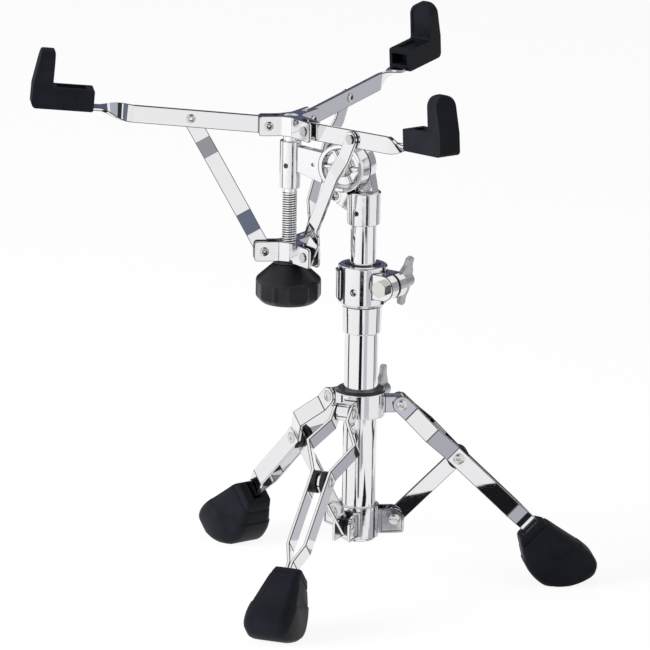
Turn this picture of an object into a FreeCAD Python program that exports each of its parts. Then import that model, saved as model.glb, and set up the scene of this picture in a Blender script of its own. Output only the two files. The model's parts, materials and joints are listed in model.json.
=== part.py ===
import FreeCAD, Part
import math
import os

from FreeCAD import Placement, Rotation, Vector

X_AXIS = Vector(1, 0, 0)
Y_AXIS = Vector(0, 1, 0)
Z_AXIS = Vector(0, 0, 1)

# Fits, cutting lengths and counts
overrun = 4.0
running_gap = 0.08
seat_gap = 0.03
slide_gap = 0.15
side_gap = 0.35
least_length = 0.001
limb_count = 3
limb_step = 360 / limb_count

# Rivets, screws and pins
rivet_d = 6.0
rivet_head_d = 10.0
rivet_head_height = 1.6
screw_d = 5.0
screw_head_d = 8.2
screw_head_height = 2.0
screw_socket_flats = 3.2
screw_socket_depth = 2.4
screw_end_height = 1.4
screw_end_edge = 0.4
roll_pin_d = 3.8
roll_pin_bore = 1.8
roll_pin_recess = 0.4

# Base tube
base_tube_d = 28.6
base_tube_wall = 1.6
base_tube_length = 208.0
tube_below_bracket = 2.7

# Tripod linkage: radii from the tube axis, angles from the vertical
leg_names = ("right", "left", "front")
legs_azimuth = 7.6
bracket_pivot_r = 29.7
brace_length = 75.0
brace_slope = 45.78
leg_link = 68.8
collar_pivot_r = 34.05
folded_leg_slope = 8.0

# Bottom bracket
bracket_below_pivot = 14.3
bracket_above_pivot = 12.8
bracket_wall = 3.0
ear_below_pivot = 11.5
ear_above_pivot = 9.5
ear_past_pivot = 8.0
ear_top_round = 8.5
ear_foot_round = 2.0
ear_cheek = 2.4
ear_rim = 1.6
ear_recess = 0.7
ear_gap = 11.0

# Collar that slides on the base tube
collar_d = 42.0
collar_height = 20.8
collar_below_pivot = 9.5
collar_edge = 0.8
collar_bush_wall = 1.4
collar_bush_flange_d = 39.0
collar_bush_flange = 2.6
tang_width = 11.4
tang_round = 7.0
collar_boss_d = 15.0
collar_boss_reach = 30.0
collar_bolt_d = 8.0

# Legs: two bent strips each
leg_strip_width = 15.0
leg_strip_thick = 2.8
leg_ear_straight = 12.0
leg_flare_at = 34.0
leg_narrow_lead = 4.0
leg_strip_length = 178.0
leg_tail = 27.0
leg_converge_length = 17.0
leg_flare_spread = 21.0
brace_width = 14.0
brace_thick = 3.0
bumper_d = 19.0
bumper_width = 4.3

# Rubber boots: sections across the leg, as shares of the boot's own sizes
boot_cover = 21.0
boot_length = 66.5
boot_drop = 28.8
boot_rise = 18.4
boot_width = 41.0
boot_corner = 9.0
boot_floor_cut = 1.78
boot_station_shares = (0, 0.12, 0.3, 0.496, 0.677, 0.827, 0.932, 1)
boot_drop_shares = (0.483, 0.677, 0.913, 1, 0.931, 0.649, 0.295, -0.035)
boot_rise_shares = (0.418, 0.652, 0.772, 0.891, 0.995, 1, 0.87, 0.571)
boot_width_shares = (0.585, 0.659, 0.793, 0.915, 1, 0.988, 0.902, 0.707)
boot_corner_shares = (0.333, 0.556, 0.778, 0.944, 1, 0.944, 0.778, 0.444)

# Height clamp on top of the base tube
clamp_azimuth = -34.0
clamp_sleeve_d = 32.4
clamp_sleeve_top_d = 33.6
clamp_sleeve_length = 23.7
clamp_body_d = 41.5
clamp_body_length = 35.3
clamp_shoulder = 3.0
clamp_edge = 1.5
clamp_tube_overlap = 5.0
clamp_bolt_r = 27.0
clamp_bolt_height = 20.0
clamp_bolt_d = 8.0
clamp_lug_width = 23.0
clamp_lug_round = 11.0
clamp_split = 2.2
clamp_pad_azimuth = 186.0
clamp_pad_reach = 22.6
clamp_pad_width = 11.0
clamp_pad_height = 31.0
clamp_pad_lift = 3.5
clamp_pad_round = 1.0
clamp_pad_slope = 4.0
clamp_key_azimuth = 248.0
clamp_key_d = 5.0
clamp_key_depth = 4.5
clamp_key_height = 14.6
hex_flats = 13.0
hex_head_height = 5.2
bush_d = 29.4
bush_recess = 1.2
height_wing_turn = 12.0

# Wing nuts: outline as shares of the span and of the height
wing_outline_shares = ((0.29, 0.02, 0), (0.44, 0.12, 0.2), (0.66, 0.37, 0.3), (0.92, 0.46, 0.09),
                       (1.0, 0.66, 0.14), (0.92, 0.86, 0.09), (0.66, 0.82, 0.3), (0.42, 0.96, 0.3),
                       (0.24, 0.99, 0))
wing_thick = 5.0
wing_edge = 1.2
wing_hub_d = 13.6
wing_hub_top_d = 11.0
height_wing_span = 22.5
height_wing_height = 19.0
collar_wing_span = 22.5
collar_wing_height = 17.0
collar_wing_gap = 9.0
tilt_wing_span = 16.5
tilt_wing_height = 14.0

# Upper tube
upper_tube_d = 22.2
upper_tube_wall = 1.5
upper_tube_length = 245.0

# Tilter post, in the frame of the tilter: x to the basket, y along the tilt axis
tilter_azimuth = 155.0
post_lift = 34.7
post_sleeve_d = 28.5
post_sleeve_length = 28.0
post_socket_depth = 25.0
post_edge = 1.2
post_disc_d = 46.4
post_disc_x = 15.0
post_disc_rise = 20.5
post_plate_front = 5.0
post_plate_back = 6.0
post_pin_azimuth = 244.0
post_pin_height = 11.0
web_heel_x = 11.0
web_heel_z = 25.0
web_toe_x = 13.0
web_toe_z = 10.0
web_tip_x = 31.5
web_tip_z = 19.5
web_round = 6.0
web_neck_x = 7.0
web_neck_z = 46.0
lug_screw_x = 25.4
lug_screw_z = 21.2
lug_pocket_d = 12.4
lug_pocket_depth = 1.2
tilt_bolt_d = 8.0
tilt_washer_d = 40.0
tilt_washer_thick = 0.6

# Basket holder: moving disc, arm and rod sleeve
disc_back_d = 46.0
disc_front_d = 41.0
disc_thick = 10.0
disc_round = 1.5
dish_d = 34.0
dish_floor_d = 30.5
dish_depth = 6.0
dish_hub_d = 15.6
dish_hub_depth = 2.6
dish_rib_count = 6
dish_rib_thick = 2.4
dish_rib_depth = 3.4
holder_arm_inset = 1.2
holder_arm_top = 14.8
holder_arm_bottom = 5.3
holder_arm_disc_top = 11.5
holder_arm_disc_bottom = 15.0
holder_hole_x = 41.0
holder_hole_d = 2.6
holder_hole_depth = 3.0
rod_reach = 63.5
rod_sleeve_d = 17.8
rod_sleeve_top = 18.1
rod_sleeve_bottom = 22.7
rod_sleeve_edge = 1.0
holder_pin_z = -2.5
rod_d = 12.7
thread_d = 12.4
thread_pitch = 2.0
thread_depth = 0.75
thread_top_below_disc = 26.0
rod_below_hub = 42.6
rod_top_recess = 1.4

# Basket linkage: radii from the rod axis
arm_names = ("left", "front", "back")
arm_azimuths = (186.6, 305.4, 58.4)
side_hub_shift = 7.5
strut_sides = (-1, -1, 1)
upper_pivot_rise = 31.3
upper_pivot_r = 19.0
lower_pivot_r = 21.25
arm_link = 65.5
strut_length = 130.2
arm_rise = 5.3
arm_closed_rise = 43.0

# Hubs
hub_height = 17.2
hub_web_r = 9.5
hub_bend_round = 3.0
hub_slot_start = 10.3
hub_slot = 7.0
hub_cheek = 2.4
hub_past_pivot = 8.6
hub_round = 3.0

# Arms, struts and pads
arm_width = 15.0
arm_thick = 3.0
arm_twist_length = 21.4
arm_twist_steps = 6
arm_flat_rise = 15.8
arm_in_pad_back = 6.3
strut_width = 13.6
strut_thick = 2.5
strut_bow = 7.2
strut_upper_straight = 21.0
strut_upper_jog = 16.8
strut_lower_straight = 17.8
strut_lower_jog = 17.8
strut_tail = 8.2
slot_gap = 0.25
pad_face_r = 201.7
pad_rise = 4.6
pad_shelf_length = 35.2
pad_back_thick = 16.8
pad_top_thick = 11.4
pad_after_twist = 6.5
pad_below_strip = 0.8
pad_shelf_rise = 17.8
pad_top_rise = 49.4
pad_width = 20.0
pad_edge = 1.6
pad_corner = 3.0
pad_back_round = 8.0
pad_channel_width = 11.0
pad_channel_depth = 2.0
pad_channel_lead = 7.0
pad_socket_width = 14.6
pad_socket_height = 9.5
pad_socket_depth = 12.0
pad_socket_lift = 1.6

# Grip knob under the basket
knob_d = 55.0
knob_height = 33.8
knob_top_d = 27.0
knob_shoulder = 13.0
knob_foot_d = 46.0
knob_foot = 5.0
knob_edge = 1.4
knob_flat_count = 6
knob_flat_share = 0.955
knob_flat_drop = 15.0
knob_washer_d = 26.0
knob_washer_thick = 1.8
knob_nut_flats = 19.0
knob_nut_height = 10.0
knob_nut_lift = 9.0


# Sizes that follow from the ones above
def sine(degrees):
    return math.sin(math.radians(degrees))


def cosine(degrees):
    return math.cos(math.radians(degrees))


base_tube_r = base_tube_d / 2
leg_azimuths = [legs_azimuth + limb_step * k for k in range(limb_count)]
brace_top_r = bracket_pivot_r + brace_length * sine(brace_slope)
leg_slope = math.degrees(math.asin((brace_top_r - collar_pivot_r) / leg_link))
leg_close_at = leg_strip_length - leg_tail
leg_converge_at = leg_close_at - leg_converge_length
boot_start = leg_strip_length - boot_cover
boot_stations = [boot_start + boot_length * share for share in boot_station_shares]
boot_undersides = [-boot_drop * share for share in boot_drop_shares]
boot_depths = [station * cosine(leg_slope) - low * sine(leg_slope)
               for station, low in zip(boot_stations, boot_undersides)]
brace_top_z = max(boot_depths) - boot_floor_cut - leg_link * cosine(leg_slope)
bracket_pivot_z = brace_top_z - brace_length * cosine(brace_slope)
collar_pivot_z = brace_top_z + leg_link * cosine(leg_slope)
collar_bottom_z = collar_pivot_z - collar_below_pivot
collar_top_z = collar_bottom_z + collar_height
bracket_bottom_z = bracket_pivot_z - bracket_below_pivot
bracket_top_z = bracket_pivot_z + bracket_above_pivot
base_tube_bottom_z = bracket_bottom_z - tube_below_bracket
base_tube_top_z = base_tube_bottom_z + base_tube_length
clamp_step_z = base_tube_top_z - clamp_tube_overlap
clamp_bottom_z = clamp_step_z - clamp_sleeve_length
clamp_top_z = clamp_step_z + clamp_body_length
clamp_bolt_z = clamp_step_z + clamp_bolt_height
upper_tube_r = upper_tube_d / 2
post_bottom_z = clamp_top_z + post_lift
post_top_z = post_bottom_z + post_sleeve_length
upper_tube_top_z = post_bottom_z + post_socket_depth
upper_tube_bottom_z = upper_tube_top_z - upper_tube_length
disc_z = post_top_z + post_disc_rise
disc_back_y = post_plate_front + seat_gap + tilt_washer_thick + side_gap
disc_front_y = disc_back_y + disc_thick
disc_middle_y = disc_back_y + disc_thick / 2
tilt_hub_y = disc_front_y - dish_hub_depth
upper_pivot_z = disc_z + upper_pivot_rise
hub_shifts = (0, side_hub_shift, side_hub_shift)
pad_inner_r = pad_face_r - pad_shelf_length
pad_outer_r = pad_face_r + pad_back_thick
pad_top_outer_r = pad_face_r + pad_top_thick
arm_end_r = pad_face_r + arm_in_pad_back
arm_twist_to = pad_inner_r - pad_after_twist
arm_twist_from = arm_twist_to - arm_twist_length
hub_half = hub_height / 2
knob_washer_gap = side_gap + knob_washer_thick
tilter_place = Placement(Vector(0, 0, 0), Rotation(Z_AXIS, tilter_azimuth))
rod_point = tilter_place.multVec(Vector(rod_reach, disc_middle_y, 0))
leg_outer_y = tang_width / 2 + side_gap + leg_strip_thick
brace_side_y = brace_thick / 2 + side_gap
leg_inner_narrow_y = brace_side_y + bumper_width + seat_gap
leg_outer_narrow_y = leg_inner_narrow_y + leg_strip_thick


# Basket positions for a given rise of the arms
def strut_top(rise):
    return (upper_pivot_r + arm_link * cosine(rise), arm_link * sine(rise))


def strut_lean(rise):
    return math.degrees(math.asin((strut_top(rise)[0] - lower_pivot_r) / strut_length))


def hub_drop(rise):
    return strut_length * cosine(strut_lean(rise)) - strut_top(rise)[1]


strut_slope = strut_lean(arm_rise)
lower_pivot_z = upper_pivot_z - hub_drop(arm_rise)
knob_travel = hub_drop(arm_rise) - hub_drop(arm_closed_rise)
strut_turn = strut_lean(arm_closed_rise) - strut_slope


def pin_shift(share):
    """Shift of the lower strut screw, along and across the strut, at a share of the basket's travel.

    The joints turn evenly with the knob, the true linkage does not, so the strut has a slot."""
    rise = arm_rise + (arm_closed_rise - arm_rise) * share
    lean = strut_slope + strut_turn * share
    top_r, top_z = strut_top(rise)
    hole_r = top_r - strut_length * sine(lean)
    hole_z = top_z - strut_length * cosine(lean)
    off_r = lower_pivot_r - hole_r
    off_z = knob_travel * share - hub_drop(arm_rise) - hole_z
    along = -off_r * sine(lean) - off_z * cosine(lean)
    across = off_r * cosine(lean) - off_z * sine(lean)
    return (along, across)


# Basic shapes
def cylinder(radius, length, start, axis):
    return Part.makeCylinder(radius, length, start, axis)


def ring(outer, inner, length, start, axis):
    solid = cylinder(outer, length, start, axis)
    return solid.cut(cylinder(inner, length + 2 * overrun, start - axis * overrun, axis))


def outline_face(corners):
    """Flat face in the XZ plane from (x, z, corner radius) points."""
    points = [Vector(x, 0, z) for x, z, radius in corners]
    count = len(points)
    turns = []
    for index, here in enumerate(points):
        radius = corners[index][2]
        back = (points[index - 1] - here).normalize()
        ahead = (points[(index + 1) % count] - here).normalize()
        if radius == 0:
            turns.append((here, None, here))
            continue
        half = back.getAngle(ahead) / 2
        reach = radius / math.tan(half)
        inward = (back + ahead).normalize()
        middle = here + inward * (radius / math.sin(half) - radius)
        turns.append((here + back * reach, middle, here + ahead * reach))
    edges = []
    for index, (arrive, middle, leave) in enumerate(turns):
        if middle is not None:
            edges.append(Part.Arc(arrive, middle, leave).toShape())
        following = turns[(index + 1) % count][0]
        if leave.distanceToPoint(following) > least_length:
            edges.append(Part.LineSegment(leave, following).toShape())
    return Part.Face(Part.Wire(edges))


def plate(corners, low, high):
    """Outline in the XZ plane made solid from y = low to y = high."""
    face = outline_face(corners)
    face.translate(Vector(0, low, 0))
    return face.extrude(Vector(0, high - low, 0))


def turned(corners):
    """Solid of revolution about Z from (radius, height, corner radius) points."""
    return outline_face(corners).revolve(Vector(0, 0, 0), Z_AXIS, 360)


def placed(shape, place):
    moved = shape.copy()
    moved.Placement = place.multiply(moved.Placement)
    return moved


def along(start, axis):
    """Placement that turns Z to an axis and moves the origin to a start point."""
    return Placement(start, Rotation(Z_AXIS, axis))


def joined(shapes):
    whole = shapes[0]
    for shape in shapes[1:]:
        whole = whole.fuse(shape)
    return whole.removeSplitter()


def hexagon(flats, height):
    radius = flats / math.sqrt(3)
    points = [Vector(radius * cosine(60 * k), radius * sine(60 * k), 0) for k in range(7)]
    return Part.Face(Part.makePolygon(points)).extrude(Vector(0, 0, height))


def dome(radius, height):
    """Rounded head standing on the XY plane."""
    ball = (radius ** 2 + height ** 2) / (2 * height)
    half = math.asin(radius / ball) / 2
    crown = Vector(ball * math.sin(half), 0, height - ball + ball * math.cos(half))
    foot = Vector(radius, 0, 0)
    top = Vector(0, 0, height)
    arc = Part.Arc(foot, crown, top).toShape()
    down = Part.LineSegment(top, Vector(0, 0, 0)).toShape()
    out = Part.LineSegment(Vector(0, 0, 0), foot).toShape()
    return Part.Face(Part.Wire([arc, down, out])).revolve(Vector(0, 0, 0), Z_AXIS, 360)


def rivet(low, high):
    """Domed rivet along Y; its heads stand outside low and high."""
    shank = cylinder(rivet_d / 2, high - low, Vector(0, low, 0), Y_AXIS)
    head = dome(rivet_head_d / 2, rivet_head_height)
    far = placed(head, along(Vector(0, high + seat_gap, 0), Y_AXIS))
    near = placed(head, along(Vector(0, low - seat_gap, 0), -Y_AXIS))
    reach = cylinder(rivet_d / 2, high - low + 2 * seat_gap, Vector(0, low - seat_gap, 0), Y_AXIS)
    return joined([shank, reach, far, near])


def hub_screw(low, high):
    """Screw along Y: domed socket head past high, flat round end past low."""
    start = Vector(0, low - seat_gap, 0)
    radius = screw_head_d / 2
    shank = cylinder(screw_d / 2, high - low + 2 * seat_gap, start, Y_AXIS)
    end = turned([(0, 0, 0), (radius, 0, 0), (radius, screw_end_height, screw_end_edge),
                  (0, screw_end_height, 0)])
    end = placed(end, along(start, -Y_AXIS))
    seat = Vector(0, high + seat_gap, 0)
    head = placed(dome(radius, screw_head_height), along(seat, Y_AXIS))
    socket = hexagon(screw_socket_flats, screw_socket_depth + overrun)
    socket_start = seat + Y_AXIS * (screw_head_height - screw_socket_depth)
    return joined([shank, end, head]).cut(placed(socket, along(socket_start, Y_AXIS)))


def hole(diameter, x, z):
    """Cutter for a hole along Y through anything in the way."""
    reach = pad_outer_r
    return cylinder(diameter / 2 + running_gap, 2 * reach, Vector(x, -reach, z), Y_AXIS)


def bent_strip(path, thickness, width):
    """Strip on edge that follows (x, y) points; its width is across Z."""
    points = [Vector(x, y, 0) for x, y in path]
    normals = []
    for first, second in zip(points, points[1:]):
        run = (second - first).normalize()
        normals.append(Vector(-run.y, run.x, 0))
    before = [normals[0]] + normals
    after = normals + [normals[-1]]
    shifts = []
    for first, second in zip(before, after):
        shifts.append((first + second) * (thickness / 2 / (1 + first.dot(second))))
    left = [point + shift for point, shift in zip(points, shifts)]
    right = [point - shift for point, shift in zip(points, shifts)]
    loop = left + right[::-1] + left[:1]
    face = Part.Face(Part.makePolygon(loop))
    face.translate(Vector(0, 0, -width / 2))
    return face.extrude(Vector(0, 0, width))


def rounded_end(width, x, reach):
    """Cutter that leaves a strip along X with a half-round end at x."""
    radius = width / 2
    corners = [(x, -radius, radius), (reach, -radius, 0), (reach, radius, 0), (x, radius, radius)]
    return plate(corners, -reach, reach)


def round_about(shape, azimuths):
    """Copies round Z, as one compound of separate solids."""
    return Part.makeCompound([placed(shape, Placement(Vector(0, 0, 0), Rotation(Z_AXIS, azimuth)))
                              for azimuth in azimuths])


def wing(span, height, bore_d):
    """Wing nut standing on Z: hub, two wings along X and a bore."""
    right = []
    for x_share, z_share, round_share in wing_outline_shares:
        right.append((x_share * span, z_share * height, round_share * span))
    left = [(-x, z, radius) for x, z, radius in right[::-1]]
    blades = plate(right + left, -wing_thick / 2, wing_thick / 2)
    blades = blades.makeFillet(wing_edge, rim_edges(blades, wing_thick / 2))
    hub = turned([(0, 0, 0), (wing_hub_d / 2, 0, wing_edge), (wing_hub_top_d / 2, height, wing_edge),
                  (0, height, 0)])
    nut = joined([hub, blades])
    if bore_d == 0:
        return nut
    bore = cylinder(bore_d / 2 + running_gap, height + 2 * overrun, Vector(0, 0, -overrun), Z_AXIS)
    return nut.cut(bore)


def rim_edges(shape, half):
    """Edges of a plate that lie in its two flat faces."""
    edges = []
    for edge in shape.Edges:
        sides = [abs(vertex.Point.y) for vertex in edge.Vertexes]
        level = edge.Vertexes[0].Point.y * edge.Vertexes[-1].Point.y > 0
        if level and min(sides) > half - least_length:
            edges.append(edge)
    return edges


# Base: tube, height clamp, bottom bracket
def base_tube():
    start = Vector(0, 0, base_tube_bottom_z)
    return ring(base_tube_r, base_tube_r - base_tube_wall, base_tube_length, start, Z_AXIS)


def height_clamp():
    body = turned([(0, clamp_bottom_z, 0), (clamp_sleeve_d / 2, clamp_bottom_z, clamp_edge),
                   (clamp_sleeve_top_d / 2, clamp_step_z, 0),
                   (clamp_body_d / 2, clamp_step_z + clamp_shoulder, clamp_edge),
                   (clamp_body_d / 2, clamp_top_z, clamp_edge), (0, clamp_top_z, 0)])
    lug_low = clamp_bolt_z - clamp_lug_round
    lug_high = clamp_bolt_z + clamp_lug_round
    lug_end = clamp_bolt_r + clamp_lug_round
    lug_root = base_tube_r
    lug = plate([(lug_root, lug_low, 0), (lug_end, lug_low, clamp_lug_round),
                 (lug_end, lug_high, clamp_lug_round), (lug_root, lug_high, 0)],
                -clamp_lug_width / 2, clamp_lug_width / 2)
    pad_low = clamp_step_z + clamp_pad_lift
    pad_high = pad_low + clamp_pad_height
    pad = plate([(lug_root, pad_low - clamp_pad_slope, 0),
                 (clamp_pad_reach, pad_low + clamp_pad_slope, clamp_pad_round),
                 (clamp_pad_reach, pad_high - clamp_pad_slope, clamp_pad_round), (lug_root, pad_high, 0)],
                -clamp_pad_width / 2, clamp_pad_width / 2)
    pad = placed(pad, Placement(Vector(0, 0, 0), Rotation(Z_AXIS, clamp_pad_azimuth - clamp_azimuth)))
    body = joined([body, lug, pad])
    split = Part.makeBox(lug_end + overrun, clamp_split, clamp_body_length + overrun,
                         Vector(0, -clamp_split / 2, clamp_step_z + clamp_shoulder))
    tube_bore = cylinder(base_tube_r + seat_gap, clamp_sleeve_length + clamp_tube_overlap + overrun,
                         Vector(0, 0, clamp_bottom_z - overrun), Z_AXIS)
    bush_bore = cylinder(bush_d / 2 + running_gap, clamp_body_length,
                         Vector(0, 0, base_tube_top_z), Z_AXIS)
    bolt_hole = hole(clamp_bolt_d, clamp_bolt_r, clamp_bolt_z)
    key_start = Vector(clamp_body_d / 2 - clamp_key_depth, 0, clamp_step_z + clamp_key_height)
    key = cylinder(clamp_key_d / 2, clamp_key_depth + overrun, key_start, X_AXIS)
    key = placed(key, Placement(Vector(0, 0, 0), Rotation(Z_AXIS, clamp_key_azimuth - clamp_azimuth)))
    body = body.cut([split, tube_bore, bush_bore, bolt_hole, key])
    return placed(body, clamp_place)


clamp_place = Placement(Vector(0, 0, 0), Rotation(Z_AXIS, clamp_azimuth))


def height_clamp_bolt():
    half = clamp_lug_width / 2
    end = half + side_gap + height_wing_height
    seat = Vector(clamp_bolt_r, -half - seat_gap, clamp_bolt_z)
    head = placed(hexagon(hex_flats, hex_head_height), Placement(Vector(0, 0, 0), Rotation(Z_AXIS, 30)))
    ball = turned([(0, 0, 0), (hex_flats * math.sqrt(1 / 3), 0, 0),
                   (hex_flats * math.sqrt(1 / 3), hex_head_height, clamp_edge), (0, hex_head_height, 0)])
    head = placed(head.common(ball), along(seat, -Y_AXIS))
    shank = cylinder(clamp_bolt_d / 2, half + end, seat, Y_AXIS)
    return placed(joined([head, shank]), clamp_place)


def height_wing_nut():
    nut = wing(height_wing_span, height_wing_height, clamp_bolt_d)
    start = Vector(clamp_bolt_r, clamp_lug_width / 2 + side_gap, clamp_bolt_z)
    turn = Rotation(Y_AXIS, height_wing_turn).multiply(Rotation(Z_AXIS, -X_AXIS, Y_AXIS, "ZXY"))
    return placed(placed(nut, Placement(start, turn)), clamp_place)


def height_bush():
    start = Vector(0, 0, base_tube_top_z + side_gap)
    length = clamp_top_z - bush_recess - start.z
    return ring(bush_d / 2, upper_tube_r + running_gap, length, start, Z_AXIS)


def bottom_bracket():
    start = Vector(0, 0, bracket_bottom_z)
    outer = base_tube_r + bracket_wall
    body = cylinder(outer, bracket_top_z - bracket_bottom_z, start, Z_AXIS)
    low = bracket_pivot_z - ear_below_pivot
    high = bracket_pivot_z + ear_above_pivot
    end = bracket_pivot_r + ear_past_pivot
    root = base_tube_r
    half = ear_gap / 2 + ear_cheek
    ear = plate([(root, low, 0), (end, low, ear_foot_round), (end, high, ear_top_round), (root, high, 0)],
                -half, half)
    slot = Part.makeBox(end, ear_gap, high - low + 2 * overrun,
                        Vector(outer, -ear_gap / 2, low - overrun))
    rim_low = low + ear_rim
    rim_high = high - ear_rim
    rim_end = end - ear_rim
    recess_corners = [(outer + ear_rim, rim_low, 0), (rim_end, rim_low, 0),
                      (rim_end, rim_high, ear_top_round - ear_rim), (outer + ear_rim, rim_high, 0)]
    far = plate(recess_corners, half - ear_recess, half + overrun)
    near = plate(recess_corners, -half - overrun, ear_recess - half)
    cutters = []
    for k in range(limb_count):
        place = Placement(Vector(0, 0, 0), Rotation(Z_AXIS, leg_azimuths[k]))
        body = body.fuse(placed(ear, place))
        for cutter in (slot, far, near):
            cutters.append(placed(cutter, place))
        pin_hole = hole(rivet_d, 0, bracket_pivot_z)
        keep = Part.makeBox(end, 2 * end, high - low, Vector(outer, -end, low))
        pin_hole.translate(Vector(bracket_pivot_r, 0, 0))
        cutters.append(placed(pin_hole.common(keep), place))
    bore = cylinder(base_tube_r + seat_gap, bracket_top_z, Vector(0, 0, bracket_bottom_z - overrun), Z_AXIS)
    return body.removeSplitter().cut(cutters + [bore])


def bracket_pins():
    half = ear_gap / 2 + ear_cheek - ear_recess
    pin = rivet(-half, half)
    pin.translate(Vector(bracket_pivot_r, 0, bracket_pivot_z))
    return round_about(pin, leg_azimuths)


def bracket_spacers():
    width = ear_gap / 2 - seat_gap - brace_side_y
    spacer = ring(brace_width / 2, rivet_d / 2 + seat_gap, width,
                  Vector(bracket_pivot_r, brace_side_y, bracket_pivot_z), Y_AXIS)
    other = spacer.mirror(Vector(0, 0, 0), Y_AXIS)
    solids = []
    for half in (spacer, other):
        solids += round_about(half, leg_azimuths).Solids
    return Part.makeCompound(solids)


# Collar that carries the legs
def tripod_collar():
    start = Vector(0, 0, collar_bottom_z)
    body = turned([(0, collar_bottom_z, 0), (collar_d / 2, collar_bottom_z, collar_edge),
                   (collar_d / 2, collar_top_z, collar_edge), (0, collar_top_z, 0)])
    end = collar_pivot_r + tang_round
    low = collar_pivot_z - tang_round
    high = collar_pivot_z + tang_round
    tang = plate([(base_tube_r, low, 0), (end, low, tang_round), (end, high, tang_round),
                  (base_tube_r, high, 0)], -tang_width / 2, tang_width / 2)
    tang = tang.cut(hole(rivet_d, collar_pivot_r, collar_pivot_z))
    boss = cylinder(collar_boss_d / 2, collar_boss_reach - base_tube_r,
                    Vector(base_tube_r, 0, collar_pivot_z), X_AXIS)
    boss = placed(boss, boss_place)
    body = joined([body, boss] + round_about(tang, leg_azimuths).Solids)
    bolt_hole = cylinder(collar_bolt_d / 2 + running_gap, collar_boss_reach,
                         Vector(base_tube_r, 0, collar_pivot_z), X_AXIS)
    bore = cylinder(base_tube_r + slide_gap + collar_bush_wall + seat_gap, 2 * collar_top_z,
                    start - Z_AXIS * overrun, Z_AXIS)
    return body.cut([bore, placed(bolt_hole, boss_place)])


boss_place = Placement(Vector(0, 0, 0), Rotation(Z_AXIS, legs_azimuth + limb_step / 2))


def collar_bush():
    inner = base_tube_r + slide_gap
    length = collar_height + seat_gap + collar_bush_flange
    sleeve = ring(inner + collar_bush_wall, inner, length, Vector(0, 0, collar_bottom_z), Z_AXIS)
    flange = ring(collar_bush_flange_d / 2, inner, collar_bush_flange,
                  Vector(0, 0, collar_top_z + seat_gap), Z_AXIS)
    bolt_hole = cylinder(collar_bolt_d / 2 + side_gap, collar_boss_reach,
                         Vector(0, 0, collar_pivot_z), X_AXIS)
    return joined([sleeve, flange]).cut(placed(bolt_hole, boss_place))


def collar_wing_bolt():
    hub = wing(collar_wing_span, collar_wing_height, 0)
    tip = base_tube_r + side_gap
    length = collar_boss_reach + collar_wing_gap + overrun - tip
    shank = cylinder(collar_bolt_d / 2, length, Vector(tip, 0, 0), X_AXIS)
    turn = Rotation(Z_AXIS, Y_AXIS, X_AXIS, "ZXY")
    head = placed(hub, Placement(Vector(collar_boss_reach + collar_wing_gap, 0, 0), turn))
    bolt = joined([shank, head])
    bolt.translate(Vector(0, 0, collar_pivot_z))
    return placed(bolt, boss_place)


# One leg with its brace, built along the +X radius and then turned into place
leg_place = Placement(Vector(collar_pivot_r, 0, collar_pivot_z), Rotation(Y_AXIS, 90 - leg_slope))
brace_place = Placement(Vector(bracket_pivot_r, 0, bracket_pivot_z), Rotation(Y_AXIS, brace_slope - 90))


def leg_turn(k):
    return Placement(Vector(0, 0, 0), Rotation(Z_AXIS, leg_azimuths[k]))


def leg_strip(side):
    half = leg_strip_thick / 2
    ear_y = leg_outer_y - half
    narrow_y = leg_outer_narrow_y - half
    narrow_at = leg_link - leg_narrow_lead - rivet_d / 2
    close_y = half + seat_gap
    path = [(-leg_strip_width / 2, ear_y), (leg_ear_straight, ear_y), (leg_flare_at, leg_flare_spread),
            (narrow_at, narrow_y), (leg_converge_at, narrow_y), (leg_close_at, close_y),
            (leg_strip_length, close_y)]
    strip = bent_strip([(x, y * side) for x, y in path], leg_strip_thick, leg_strip_width)
    strip = strip.common(rounded_end(leg_strip_width, -leg_strip_width / 2, leg_strip_length))
    strip = strip.cut(cylinder(rivet_d / 2 + seat_gap, 2 * leg_link, Vector(0, -leg_link, 0), Y_AXIS))
    second = cylinder(rivet_d / 2 + seat_gap, 2 * leg_link, Vector(leg_link, -leg_link, 0), Y_AXIS)
    return placed(strip.cut(second), leg_place)


def leg_rivets():
    top = rivet(-leg_outer_y, leg_outer_y)
    lower = rivet(-leg_outer_narrow_y, leg_outer_narrow_y)
    lower.translate(Vector(leg_link, 0, 0))
    return placed(Part.makeCompound([top, lower]), leg_place)


def brace_bumpers():
    start = Vector(leg_link, brace_side_y, 0)
    near = ring(bumper_d / 2, rivet_d / 2 + seat_gap, bumper_width, start, Y_AXIS)
    far = near.mirror(Vector(0, 0, 0), Y_AXIS)
    return placed(Part.makeCompound([near, far]), leg_place)


def leg_brace():
    radius = brace_width / 2
    end = brace_length + radius
    strip = plate([(-radius, -radius, radius), (end, -radius, radius), (end, radius, radius),
                   (-radius, radius, radius)], -brace_thick / 2, brace_thick / 2)
    strip = strip.cut(hole(rivet_d, 0, 0))
    return placed(strip.cut(hole(rivet_d, brace_length, 0)), brace_place)


def boot_section(station, low, high, width, radius):
    half = width / 2
    face = outline_face([(-half, low, radius), (half, low, radius),
                         (half, high, radius), (-half, high, radius)])
    return placed(face.OuterWire, Placement(Vector(station, 0, 0), Rotation(Z_AXIS, 90)))


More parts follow.
